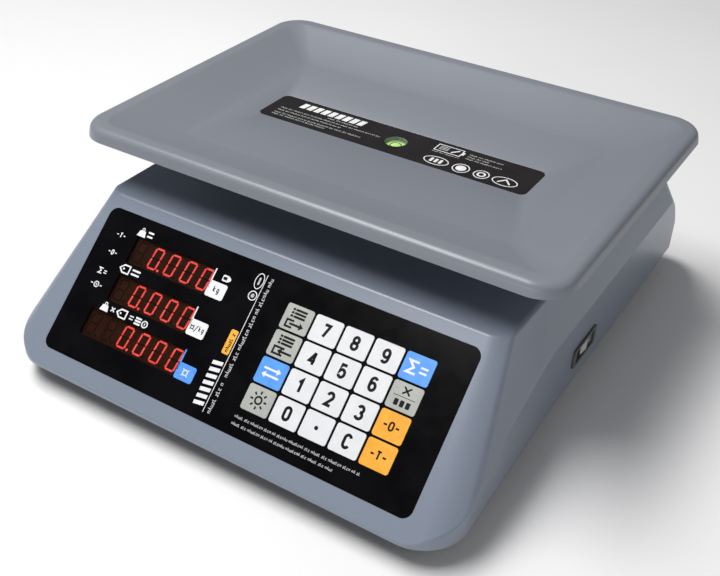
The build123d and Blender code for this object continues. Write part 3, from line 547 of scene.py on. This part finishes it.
def add_piece(name, mesh, material, body, smooth_below=None):
    """Links a mesh as a piece that rides on a body. Edges that turn by less than smooth_below
    degrees are shaded soft."""
    mesh.materials.append(material)
    if smooth_below is not None:
        mesh.shade_smooth()
        mesh.set_sharp_from_angle(angle=radians(smooth_below))
    piece = bpy.data.objects.new(name, mesh)
    bpy.context.scene.collection.objects.link(piece)
    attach(piece, body)
    return piece


def ring_mesh(name, rings, closed):
    """A mesh through rings of equal numbers of points. A closed one joins its last ring to its
    first, and an open one is capped at both ends."""
    mesh = bpy.data.meshes.new(name)
    count = len(rings[0])
    points = [point for ring in rings for point in ring]
    faces = []
    for ring in range(len(rings) if closed else len(rings) - 1):
        here, there = ring * count, (ring + 1) % len(rings) * count
        for i in range(count):
            after = (i + 1) % count
            faces.append([here + i, here + after, there + after, there + i])
    if not closed:
        faces.append(list(range(count)))
        faces.append([(len(rings) - 1) * count + i for i in reversed(range(count))])
    mesh.from_pydata(points, [], faces)
    shape = bmesh.new()
    shape.from_mesh(mesh)
    bmesh.ops.recalc_face_normals(shape, faces=shape.faces)
    shape.to_mesh(mesh)
    shape.free()
    return mesh


# ---- Pictograms ------------------------------------------------------------------------------
def draw_weight(ink, centre, size):
    """A shop weight: a tapered block with a ring on top."""
    u, v = centre
    base, top = size * 0.56, size * 0.36
    foot, shoulder = v - size / 2, v + size * 0.16
    ink.solid([(u - base, foot), (u + base, foot), (u + top, shoulder), (u - top, shoulder)])
    ink.ring((u, v + size * 0.3), size * 0.2, size * 0.1)


def draw_tag(ink, centre, size):
    """A price tag: a pointed outline with a hole."""
    u, v = centre
    low, high = v - size * 0.42, v + size * 0.42
    tip, neck, end = u - size * 0.75, u - size * 0.3, u + size * 0.5
    outline = [(tip, v), (neck, high), (end, high), (end, low), (neck, low)]
    ink.stroke(outline, size * 0.16, closed=True)
    ink.solid(oval((u - size * 0.25, v), size * 0.11, size * 0.11, 16))


def draw_coins(ink, centre, size):
    """A short stack of coins beside one coin."""
    u, v = centre
    for level in range(3):
        edge = (u - size * 0.42, v - size * 0.36 + level * size * 0.3)
        ink.bar(edge, (size * 0.8, size * 0.2), size * 0.09)
    coin = (u + size * 0.5, v - size * 0.08)
    ink.ring(coin, size * 0.4, size * 0.13)
    ink.bar(coin, (size * 0.1, size * 0.3))


def draw_times(ink, centre, size):
    """A multiplication sign."""
    u, v = centre
    reach = size * 0.22
    ink.stroke([(u - reach, v - reach), (u + reach, v + reach)], size * 0.14)
    ink.stroke([(u - reach, v + reach), (u + reach, v - reach)], size * 0.14)


def draw_equals(ink, centre, size):
    """An equals sign."""
    for side in (-1, 1):
        ink.bar((centre[0], centre[1] + side * size * 0.15), (size * 0.5, size * 0.13))


def draw_sigma(ink, centre, height, width, weight):
    """A summing sign."""
    u, v = centre
    left, right = u - width / 2, u + width / 2
    low, high = v - height / 2, v + height / 2
    notch = (u + width * 0.12, v)
    ink.stroke([(right, high), (left, high), notch, (left, low), (right, low)], weight)


def draw_arrow(ink, start, end, weight, head):
    """A straight arrow along U."""
    way = 1 if end[0] > start[0] else -1
    neck = (end[0] - way * head, end[1])
    ink.stroke([start, neck], weight)
    ink.solid([(neck[0], neck[1] - head * 0.75), end, (neck[0], neck[1] + head * 0.75)])


def draw_flanked(ink, text, centre, height, gap, dash):
    """A character between two short dashes."""
    weight = height * 0.19
    ink.character(text, centre, (height * 0.62, height), weight)
    for side in (-1, 1):
        ink.bar((centre[0] + side * gap, centre[1]), (dash, weight))


def draw_sun(ink, centre, radius, ray_start, ray_end, weight):
    """A ring with eight rays."""
    ink.ring(centre, radius, weight)
    ink.rays(centre, ray_start, ray_end, weight, range(0, FULL_TURN, 45))


def draw_list(ink, centre, size, weight):
    """Three short entries, each with its dot."""
    u, v = centre
    for row in (-1, 0, 1):
        level = v + row * size * 0.36
        ink.bar((u - size * 0.72, level), (weight * 1.2, weight))
        ink.bar((u + size * 0.18, level), (size * 1.35, weight))


# ---- Displays --------------------------------------------------------------------------------
SEGMENT_ENDS = {
    "a": ((-1, 1), (1, 1)),
    "b": ((1, 1), (1, 0)),
    "c": ((1, 0), (1, -1)),
    "d": ((-1, -1), (1, -1)),
    "e": ((-1, 0), (-1, -1)),
    "f": ((-1, 1), (-1, 0)),
    "g": ((-1, 0), (1, 0)),
}
DIGIT_WIDE = 7.2
DIGIT_TALL = 14.2
SEGMENT_THICK = 1.15
SEGMENT_GAP = 0.16
DIGIT_LEAN = radians(5)
POINT_RIGHT = 1.1
POINT_UP = 0.8
POINT_RADIUS = 0.85
DIGITS_SHOWN = 4


def draw_segment(ink, centre, name):
    """One bar of a seven-segment digit, with pointed ends, leaning to the right."""
    half_u = (DIGIT_WIDE - SEGMENT_THICK) / 2
    half_v = (DIGIT_TALL - SEGMENT_THICK) / 2
    start, end = (Vector((u * half_u, v * half_v)) for u, v in SEGMENT_ENDS[name])
    along = (end - start).normalized()
    side = Vector((-along.y, along.x)) * SEGMENT_THICK / 2
    start += along * SEGMENT_GAP
    end -= along * SEGMENT_GAP
    inner = along * SEGMENT_THICK / 2
    left, right = inner + side, inner - side
    outline = [start, start + left, end - right, end, end - left, start + right]
    ink.solid([(centre[0] + p.x + p.y * tan(DIGIT_LEAN), centre[1] + p.y) for p in outline])


def display(node, plane, name):
    """Segments on a node's digit modules: the last four digits of each row show zero, with a
    point after the first of them."""
    modules = [local_box(points, plane) for points in separate_solids(node)]
    centres = [((low.x + high.x) / 2 / MM, (low.y + high.y) / 2 / MM) for low, high in modules]
    level = modules[0][1].z / MM
    lit, dark = Ink(plane), Ink(plane)
    for row in sorted({round(v) for u, v in centres}):
        digits = sorted(c for c in centres if round(c[1]) == row)
        first_shown = len(digits) - DIGITS_SHOWN
        for place, centre in enumerate(digits):
            shown = place >= first_shown
            for segment in SEGMENT_ENDS:
                draw_segment(lit if shown and segment != "g" else dark, centre, segment)
            point = (
                centre[0] + DIGIT_WIDE / 2 + POINT_RIGHT, centre[1] - DIGIT_TALL / 2 + POINT_UP)
            dot = oval(point, POINT_RADIUS, POINT_RADIUS, 16)
            (lit if place == first_shown else dark).solid(dot)
    lit.piece(name + "_lit", LIT_RED, "housing", "digit_module", level)
    dark.piece(name + "_unlit", DARK_SEGMENT, "housing", "digit_module", level)


display("front_digits", PANEL, "front_segments")
display("rear_digits", REAR_PANEL, "rear_segments")


# ---- Print on the control panel --------------------------------------------------------------
HEADING_U = -103.9
HEADING_SIZE = 5.8
HEADING_ROWS = (13.5, -11.5, -37.0)
INDICATOR_U = -114.2
INDICATOR_ROWS = (6.9, -4.8, -18.0, -26.8)
UNIT_TAGS = ((-34.45, -2.3, 10.0), (-34.45, -27.4, -15.0), (-28.65, -53.15, -40.5))
TAG_SIZE = (12.9, 9.8)
STRIP_U = -7.0
STRIP_TOP = 17.3
STRIP_LOW = -68.7
NOTICE_U = -3.5
BADGE_U = -10.6
LETTER_LEFT = -15.4
LETTER_RIGHT = -8.4
LETTER_PITCH = 4.1
BATTERY_SIGN = (-31.9, 6.3)
SMALL_PRINT_U = 12.9
# Print that lies on other print stands this much higher.
SECOND_COAT = 0.06


def draw_words(ink, centre, width):
    """Two plain bars in the place of two lines of words."""
    for side in (-1, 1):
        ink.bar((centre[0], centre[1] + side * 1.3), (width, 1.2), 0.4)


def draw_headings(ink):
    """What each display row shows: weight, unit price, and their product."""
    size = HEADING_SIZE
    first, second, third = HEADING_ROWS
    draw_weight(ink, (HEADING_U + 3.4, first), size)
    draw_words(ink, (HEADING_U + 9.8, first), 4.2)
    draw_tag(ink, (HEADING_U + 4.5, second), size)
    draw_words(ink, (HEADING_U + 12.6, second), 6.4)
    draw_weight(ink, (HEADING_U + 3.4, third), size)
    draw_times(ink, (HEADING_U + 9.6, third), size)
    draw_tag(ink, (HEADING_U + 17.3, third), size)
    draw_equals(ink, (HEADING_U + 24.4, third), size)
    draw_coins(ink, (HEADING_U + 32.2, third), size)


def draw_indicators(ink):
    """Tare, zero, total and steady marks, left of the digits."""
    tare, zero, total, steady = INDICATOR_ROWS
    draw_flanked(ink, "T", (INDICATOR_U, tare), 3.4, 2.6, 1.3)
    draw_flanked(ink, "0", (INDICATOR_U, zero), 3.4, 2.6, 1.3)
    draw_sigma(ink, (INDICATOR_U - 1.8, total), 3.4, 2.8, 0.7)
    draw_equals(ink, (INDICATOR_U + 1.9, total), 4.6)
    centre = (INDICATOR_U, steady)
    ink.ring(centre, 2.0, 0.65)
    ink.solid(oval(centre, 0.6, 0.6, 16))
    for side in (-1, 1):
        ink.bar((INDICATOR_U + side * 3.6, steady), (1.6, 0.7))


def draw_unit_tag(ink, tag):
    """A rounded label beside a row's last digit, with a thin tail up its left side. A tag is
    (U, V, V of the tail's top)."""
    u, v, tail_top = tag
    left = u - TAG_SIZE[0] / 2
    ink.bar((u, v), TAG_SIZE, 1.4)
    ink.bar((left + 0.45, (v + tail_top) / 2), (0.9, tail_top - v))


def draw_currency(ink, centre, radius, weight):
    """A generic currency sign: a ring with four ticks."""
    ink.ring(centre, radius, weight)
    ink.rays(centre, radius * 0.9, radius * 1.6, weight, range(45, FULL_TURN, 90))


def draw_kilograms(ink, centre, height):
    """The two letters of the kilogram. The second hangs below the first."""
    u, v = centre
    size, weight = (height * 0.45, height), height * 0.15
    ink.character("k", (u - height * 0.36, v + height * 0.14), size, weight)
    ink.character("g", (u + height * 0.36, v - height * 0.14), size, weight)


def draw_unit_text(ink):
    """The weight's unit, and the unit price as currency over weight."""
    weight_tag, price_tag = UNIT_TAGS[:2]
    draw_kilograms(ink, weight_tag[:2], 3.7)
    u, v = price_tag[:2]
    draw_currency(ink, (u - 3.6, v), 1.25, 0.5)
    ink.stroke([(u - 1.5, v - 2.2), (u + 0.1, v + 2.2)], 0.5)
    draw_kilograms(ink, (u + 3.0, v), 3.2)


def draw_strip(white, pale, yellow):
    """The upright strip between displays and keys: plain marks and rows of small print."""
    white.bar((STRIP_U, (STRIP_TOP + STRIP_LOW) / 2), (0.4, STRIP_TOP - STRIP_LOW))
    for low, high in ((-67.8, -49.0), (-45.5, 16.8)):
        pale.text_line((NOTICE_U, low), (NOTICE_U, high), 2.3)
    badge = (BADGE_U, 12.2)
    white.band(oval(badge, 3.0, 5.0), oval(badge, 2.5, 4.5))
    pale.bar(badge, (1.2, 4.6), 0.5)
    round_badge = (BADGE_U, 3.0)
    white.ring(round_badge, 3.0, 0.6)
    pale.solid(oval(round_badge, 1.2, 1.2))
    yellow.bar((BADGE_U, -26.6), (5.0, 15.0), 1.0)
    # A row of slanted bars in the place of a name that runs up the strip.
    thick, lean = 2.3, 0.9
    for letter in range(7):
        left = -66.5 + letter * LETTER_PITCH
        right = left + lean
        white.solid([
            (LETTER_LEFT, left), (LETTER_RIGHT, right),
            (LETTER_RIGHT, right + thick), (LETTER_LEFT, left + thick)])


def draw_battery_sign(white, black):
    """A battery on its side, with a dark middle."""
    u, v = BATTERY_SIGN
    white.bar((u, v), (4.4, 3.9), 0.8)
    white.solid([(u + 2.0, v + 1.9), (u + 3.7, v + 0.6), (u + 3.7, v - 0.6), (u + 2.0, v - 1.9)])
    black.bar((u - 0.2, v), (2.7, 1.9), 0.3)


panel_white, panel_pale, panel_black = Ink(PANEL), Ink(PANEL), Ink(PANEL)
panel_blue, panel_yellow, panel_tag_white = Ink(PANEL), Ink(PANEL), Ink(PANEL)
draw_headings(panel_white)
draw_indicators(panel_white)
draw_unit_tag(panel_white, UNIT_TAGS[0])
draw_unit_tag(panel_white, UNIT_TAGS[1])
draw_unit_tag(panel_blue, UNIT_TAGS[2])
draw_strip(panel_white, panel_pale, panel_yellow)
draw_unit_text(panel_black)
panel_black.text_line((BADGE_U, -32.5), (BADGE_U, -20.8), 2.2)
draw_currency(panel_tag_white, UNIT_TAGS[2][:2], 1.9, 0.65)
draw_battery_sign(panel_white, panel_black)
for print_end, print_row in ((96.0, -62.7), (80.7, -66.9)):
    panel_pale.text_line((SMALL_PRINT_U, print_row), (print_end, print_row), 1.5)
panel_white.piece("panel_print_white", WHITE_INK, "housing", "overlay_film")
panel_pale.piece("panel_print_pale", PALE_INK, "housing", "overlay_film")
panel_blue.piece("panel_print_blue", BLUE_INK, "housing", "overlay_film")
panel_yellow.piece("panel_print_yellow", YELLOW_INK, "housing", "overlay_film")
panel_black.piece("panel_print_black", BLACK_INK, "housing", "overlay_film", SECOND_COAT)
panel_tag_white.piece("panel_print_tag", WHITE_INK, "housing", "overlay_film", SECOND_COAT)


# ---- Legends on the keys ---------------------------------------------------------------------
KEY_DIGIT = (5.2, 8.7)
KEY_DIGIT_WEIGHT = 1.7
MIDDLE = (0.0, 0.0)
# The list, the arrow and the open tray of the recall and store keys.
LIST_PLACE = (0, 3.0)
LIST_SIZE = 5.6
TRAY_ROW = -3.6
TRAY_LEFT = -5.6
TRAY_HALF = 2.0


def legend_character(name):
    """A legend that is one character."""
    return lambda ink: ink.character(name, MIDDLE, KEY_DIGIT, KEY_DIGIT_WEIGHT)


def legend_flanked(name):
    """A legend that is one character between dashes."""
    return lambda ink: draw_flanked(ink, name, MIDDLE, 5.4, 3.7, 2.0)


def legend_point(ink):
    """The decimal point."""
    ink.solid(oval((0.0, -0.4), 1.2, 1.2))


def legend_light(ink):
    """A sun."""
    draw_sun(ink, MIDDLE, 2.6, 3.6, 5.4, 1.05)


def legend_sum(ink):
    """A summing sign and an equals sign."""
    draw_sigma(ink, (-2.9, 0), 6.6, 5.4, 1.3)
    draw_equals(ink, (3.9, 0), 9.0)


def legend_change(ink):
    """Two opposed arrows."""
    draw_arrow(ink, (-5.6, 1.8), (5.8, 1.8), 1.2, 2.6)
    draw_arrow(ink, (5.6, -1.8), (-5.8, -1.8), 1.2, 2.6)


def draw_tray(ink, end):
    """A bracket that opens to the right, as far as end."""
    low, high = TRAY_ROW - TRAY_HALF, TRAY_ROW + TRAY_HALF
    ink.stroke([(end, high), (TRAY_LEFT, high), (TRAY_LEFT, low), (end, low)], 1.2)


def legend_recall(ink):
    """A list over an arrow that leaves a tray."""
    draw_list(ink, LIST_PLACE, LIST_SIZE, 1.3)
    draw_tray(ink, -1.0)
    draw_arrow(ink, (-3.4, TRAY_ROW), (6.0, TRAY_ROW), 1.25, 2.8)


def legend_store(ink):
    """A list over an arrow that enters a tray."""
    draw_list(ink, LIST_PLACE, LIST_SIZE, 1.3)
    draw_tray(ink, 1.0)
    draw_arrow(ink, (6.6, TRAY_ROW), (-3.0, TRAY_ROW), 1.25, 2.8)


def legend_reset(ink):
    """A cross over three blocks."""
    row, pitch = 3.6, 3.6
    for side in (-1, 1):
        ink.stroke([(-2.2, row - side * 2.0), (2.2, row + side * 2.0)], 1.0)
    ink.bar(MIDDLE, (13.0, 0.3))
    for place in (-1, 0, 1):
        ink.bar((place * pitch, -row), (2.5, 3.6), 0.5)


LEGENDS = {
    "key_point": (legend_point, BLACK_INK),
    "key_clear": (legend_character("C"), BLACK_INK),
    "key_recall": (legend_recall, BLACK_INK),
    "key_store": (legend_store, BLACK_INK),
    "key_change": (legend_change, WHITE_INK),
    "key_light": (legend_light, BLACK_INK),
    "key_sum": (legend_sum, WHITE_INK),
    "key_reset": (legend_reset, BLACK_INK),
    "key_zero": (legend_flanked("0"), BLACK_INK),
    "key_tare": (legend_flanked("T"), BLACK_INK),
}


def key_plane(key):
    """The panel's plane moved to the middle of a key's top."""
    low, high = local_box(node_points(key), PANEL)
    return PANEL @ Matrix.Translation(((low.x + high.x) / 2, (low.y + high.y) / 2, high.z))


for key in KEYS:
    legend = Ink(key_plane(key))
    draw, ink_finish = LEGENDS.get(key) or (legend_character(key[-1]), BLACK_INK)
    draw(legend)
    legend.piece("legend_" + key, ink_finish, key, NODE_SLOT[key])


# ---- Power switch ----------------------------------------------------------------------------
ROCKER_STEP = 1.3
ROCKER_MARK = 8.8
rocker_band, rocker_marks = Ink(ROCKER_TOP), Ink(ROCKER_TOP)
rocker_band.bar(MIDDLE, (8.4, 8.0), 0.8)
rocker_marks.bar((ROCKER_MARK, 0.0), (0.9, 3.6))
rocker_marks.ring((-ROCKER_MARK, 0.0), 1.9, 0.7)
rocker_band.piece("rocker_band", ROCKER_GREY, "power_rocker", "switch_plastic")
rocker_marks.piece("rocker_marks", PALE_INK, "power_rocker", "switch_plastic", -ROCKER_STEP)


# ---- Pan -------------------------------------------------------------------------------------
pan_low, pan_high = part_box("weighing_pan")
PAN_MIDDLE = (pan_low + pan_high) / 2
PAN_HALF = (pan_high - pan_low) / 2
label_low, label_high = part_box("pan_label")
LABEL_HALF = (label_high - label_low) / 2
CORNER_STEPS = 14
SIGHT_RADIUS = 7.5 * MM
LABEL_CORNER = 4.5 * MM
LABEL_GAP = 0.3 * MM
RECESS_CHAMFER_WIDE = 0.2 * MM
RECESS_CHAMFER_DEEP = 0.15 * MM
PAN_WALL = 2.5 * MM
PAN_CORNER = 21 * MM
# Sections of the rim from the outside in, as (inset from the pan's edge, height over the rim's
# top) in millimetres. The basin starts at the end of the second.
RIM_EDGE = (
    (0.0, -8.0), (0.7, -4.3), (1.0, -3.1), (1.55, -2.05), (2.35, -1.15), (3.4, -0.48), (4.6, -0.1),
    (5.8, 0.0))
RIM_CREASE = ((10.6, 0.0), (11.6, -0.12), (12.4, -0.42))
# The skirt's lower edge and its inside, which starts from under the rim.
SKIRT_EDGE = ((0.3, -8.25), (2.2, -8.25))
SKIRT_INSIDE = ((3.5, -1.5), (4.6, 0.0))
MOUTH_INSET = 12.5
MOUTH_CORNER = 12.0
SLOPE_END = 49.0
SLOPE_STEPS = 14
SLOPE_BEND = 1.22
FLOOR_CORNER = 4.0


def pan_corner(inset):
    """The corner radius of a ring that lies inset millimetres inside the pan's edge."""
    if inset < MOUTH_INSET:
        share = inset / MOUTH_INSET
        return PAN_CORNER * (1 - share) + MOUTH_CORNER * MM * share
    share = (inset - MOUTH_INSET) / (SLOPE_END - MOUTH_INSET)
    return (MOUTH_CORNER * (1 - share) + FLOOR_CORNER * share) * MM


def pan_ring(inset, height):
    """A ring round the pan, inset millimetres inside its edge, at a height in metres."""
    half_x, half_y = PAN_HALF.x - inset * MM, PAN_HALF.y - inset * MM
    outline = rounded(half_x, half_y, pan_corner(inset), CORNER_STEPS, PAN_MIDDLE[:2])
    return [(x, y, height) for x, y in outline]


def label_ring(gap, height):
    """A ring round the label, gap metres outside its edge."""
    half_x, half_y = LABEL_HALF.x + gap, LABEL_HALF.y + gap
    outline = rounded(half_x, half_y, LABEL_CORNER, CORNER_STEPS, PAN_MIDDLE[:2])
    return [(x, y, height) for x, y in outline]


def sight_ring(height):
    """A ring round the hole over the bubble level."""
    outline = rounded(SIGHT_RADIUS, SIGHT_RADIUS, SIGHT_RADIUS, CORNER_STEPS, PAN_MIDDLE[:2])
    return [(x, y, height) for x, y in outline]


def slope_rings(start, top, floor):
    """The basin's side, steep at the rim and running softly into the floor."""
    rings = []
    for step in range(1, SLOPE_STEPS + 1):
        share = step / SLOPE_STEPS
        height = floor + (top - floor) * (1 - share) ** SLOPE_BEND
        rings.append(pan_ring(start + (SLOPE_END - start) * share, height))
    return rings


def section_rings(section, top):
    """Rings round the pan through a section's points, with heights over a top in metres."""
    return [pan_ring(inset, top + height * MM) for inset, height in section]


def pan_rings():
    """The whole pan's section: from the sight hole across the label's recess and the basin to the
    rim, then down the skirt and back along the underside."""
    rim, floor, under = pan_high.z, label_high.z, pan_low.z
    recess = label_low.z
    rings = [sight_ring(under), sight_ring(recess), label_ring(LABEL_GAP, recess)]
    rings.append(label_ring(LABEL_GAP, floor - RECESS_CHAMFER_DEEP))
    rings.append(label_ring(LABEL_GAP + RECESS_CHAMFER_WIDE, floor))
    crease_inset, crease_height = RIM_CREASE[-1]
    rings += slope_rings(crease_inset, rim + crease_height * MM, floor)[::-1]
    rings += section_rings(RIM_CREASE[::-1] + RIM_EDGE[::-1] + SKIRT_EDGE, rim)
    inside = rim - PAN_WALL
    basin_inset = crease_inset - 1
    rings += section_rings(SKIRT_INSIDE + ((basin_inset, 0.0),), inside)
    rings += slope_rings(basin_inset, inside, under)
    return rings


pan_mesh = ring_mesh("pan_body", pan_rings(), closed=True)
pan_body = add_piece("pan_body", pan_mesh, PAN, "pan", smooth_below=40)
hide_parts("weighing_pan")


# ---- Print on the pan's label ----------------------------------------------------------------
LABEL_LINE = 0.7
LABEL_SMALL_PRINT = 1.4
LABEL_LEFT = -89.6
FRAME_LEFT = 25.3
NOTE_LEFT = 48.0
SEAL_ROW = -8.3
# Across, half width and half height of each outline badge.
SEALS = ((34.0, 8.6, 5.3), (51.4, 5.7, 5.7), (65.4, 5.2, 5.2), (81.2, 8.4, 5.3))


def draw_heading_bars(white):
    """Nine slanted bars in the place of a name."""
    low, high, wide, lean = 5.2, 12.4, 4.2, 1.0
    for letter in range(9):
        left = -79.5 + letter * 5.7
        right = left + wide
        white.solid([(left, low), (right, low), (right + lean, high), (left + lean, high)])


def draw_label_rows(pale):
    """Rows of small print."""
    pale.text_line((-54, 2.8), (-30, 2.8), 1.5)
    for end, row in ((-11.4, -0.9), (-38.7, -4.5), (-21.3, -8.6), (-47.6, -11.4)):
        pale.text_line((LABEL_LEFT, row), (end, row), LABEL_SMALL_PRINT)
    pale.text_line((FRAME_LEFT, 2.6), (44.6, 2.6), 1.2)
    for end, row in ((71.0, 10.8), (63.0, 7.8), (73.0, 4.8)):
        pale.text_line((NOTE_LEFT, row), (end, row), LABEL_SMALL_PRINT)


def draw_label_frame(white, pale):
    """A battery-like outline with three bars and a stroke in it."""
    right, low, high = 43.2, 4.6, 12.9
    corners = [(FRAME_LEFT, low), (right, low), (right, high), (FRAME_LEFT, high)]
    white.stroke(corners, LABEL_LINE, closed=True)
    white.bar((44.3, 8.8), (1.4, 3.6))
    white.stroke([(36.6, 6.4), (40.8, 11.2)], 1.3)
    for row in (7.2, 9.0, 10.8):
        pale.bar((30.6, row), (6.6, 0.8))


def draw_seals(white):
    """Four outline badges: three bars, a disc, a ring and a roof."""
    for u, half_u, half_v in SEALS:
        centre = (u, SEAL_ROW)
        inner = oval(centre, half_u - LABEL_LINE, half_v - LABEL_LINE)
        white.band(oval(centre, half_u, half_v), inner)
    bars, disc, ring, roof = [(u, SEAL_ROW) for u, half_u, half_v in SEALS]
    for side in (-3.2, 0.0, 3.2):
        white.bar((bars[0] + side, SEAL_ROW), (1.9, 5.0), 0.4)
    white.solid(oval(disc, 3.4, 3.4))
    white.ring(ring, 2.9, 1.2)
    foot = SEAL_ROW - 2.1
    white.stroke([(roof[0] - 4, foot), (roof[0], SEAL_ROW + 2.7), (roof[0] + 4, foot)], 1.1)


label_white, label_pale = Ink(LABEL_TOP), Ink(LABEL_TOP)
draw_heading_bars(label_white)
draw_label_rows(label_pale)
draw_label_frame(label_white, label_pale)
draw_seals(label_white)
label_white.piece("label_print_white", WHITE_INK, "pan", "label_film")
label_pale.piece("label_print_pale", PALE_INK, "pan", "label_film")


# ---- Bubble level ----------------------------------------------------------------------------
# The bubble's section from the top down, as (radius, height over the liquid's top), and how far
# it floats off the middle, in millimetres.
BUBBLE_SECTION = ((0.4, 0.45), (1.4, 0.4), (2.2, 0.22), (2.5, -0.1), (2.0, -0.4), (0.8, -0.52))
BUBBLE_OFF = (1.1, 0.8)


def add_bubble():
    """A flattened bubble that floats under the vial's lid, a little off centre. Its pale colour is a
    painted highlight.
    """
    low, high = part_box("level_fluid")
    centre = (low + high) / 2
    place = (centre.x + BUBBLE_OFF[0] * MM, centre.y + BUBBLE_OFF[1] * MM)
    rings = []
    for radius, height in BUBBLE_SECTION:
        outline = oval(place, radius * MM, radius * MM, 24)
        rings.append([(x, y, high.z + height * MM) for x, y in outline])
    mesh = ring_mesh("level_bubble_highlight", rings, closed=False)
    add_piece("level_bubble_highlight", mesh, BUBBLE_PAINTED_HIGHLIGHT, "platform", smooth_below=60)


add_bubble()
level_print = Ink(VIAL_TOP)
level_print.ring(MIDDLE, 3.9, 0.55)
level_print.piece("level_circle", BLACK_INK, "platform", "vial_clear")


# ---- Stage, light and camera -----------------------------------------------------------------
FLOOR_HALF = 6.0
LIGHT_AIM = Vector((0, 0, 0.08))
WORLD_COLOUR = (0.96, 0.98, 1.0, 1.0)
WORLD_STRENGTH = 0.14
# Name, place, size, power and colour of each light.
SOFTBOXES = (
    ("overhead", (-0.52, -0.24, 1.5), (1.3, 0.5), 26.5, (1.0, 0.99, 0.98)),
    ("right_fill", (1.6, 0.1, 1.1), (1.4, 1.0), 3.0, (1.0, 1.0, 1.0)),
    ("front_low", (0.1, -1.6, 0.2), (1.2, 0.3), 4.2, (0.98, 0.99, 1.0)),
)


def add_floor():
    """A flat pale floor."""
    half = FLOOR_HALF
    corners = [(-half, -half, 0), (half, -half, 0), (half, half, 0), (-half, half, 0)]
    mesh = bpy.data.meshes.new("floor")
    mesh.from_pydata(corners, [], [(0, 1, 2, 3)])
    mesh.materials.append(FLOOR)
    floor = bpy.data.objects.new("floor", mesh)
    bpy.context.scene.collection.objects.link(floor)


def add_softbox(name, place, size, power, colour):
    """A rectangular light that looks at the object."""
    light = bpy.data.lights.new(name, "AREA")
    light.shape = "RECTANGLE"
    light.size, light.size_y = size
    light.energy = power
    light.color = colour
    lamp = bpy.data.objects.new(name, light)
    lamp.location = place
    lamp.rotation_mode = "QUATERNION"
    lamp.rotation_quaternion = (Vector(place) - LIGHT_AIM).to_track_quat("Z", "Y")
    bpy.context.scene.collection.objects.link(lamp)


def add_world(colour, strength):
    """An even light from all sides."""
    world = bpy.data.worlds.new("studio")
    world.use_nodes = True
    background = world.node_tree.nodes["Background"]
    background.inputs["Color"].default_value = colour
    background.inputs["Strength"].default_value = strength
    bpy.context.scene.world = world


# The camera as it was solved from the photo.
CAMERA_PLACE = (0.2965, -0.4981, 0.4250)
CAMERA_AZIMUTH = radians(31.48)
CAMERA_ELEVATION = radians(35.06)
CAMERA_ROLL = radians(1.63)
CAMERA_LENS = 52.11


def add_camera():
    """Adds the camera, leaning by its roll."""
    data = bpy.data.cameras.new("camera")
    data.lens = CAMERA_LENS
    camera = bpy.data.objects.new("camera", data)
    flat = cos(CAMERA_ELEVATION)
    back = Vector((sin(CAMERA_AZIMUTH) * flat, -cos(CAMERA_AZIMUTH) * flat, sin(CAMERA_ELEVATION)))
    side = Vector((cos(CAMERA_AZIMUTH), sin(CAMERA_AZIMUTH), 0))
    top = back.cross(side)
    right = side * cos(CAMERA_ROLL) + top * sin(CAMERA_ROLL)
    up = top * cos(CAMERA_ROLL) - side * sin(CAMERA_ROLL)
    turn = Matrix((right, up, back)).transposed().to_4x4()
    camera.matrix_world = Matrix.Translation(CAMERA_PLACE) @ turn
    bpy.context.scene.collection.objects.link(camera)
    bpy.context.scene.camera = camera


add_floor()
add_world(WORLD_COLOUR, WORLD_STRENGTH)
for softbox in SOFTBOXES:
    add_softbox(*softbox)
add_camera()
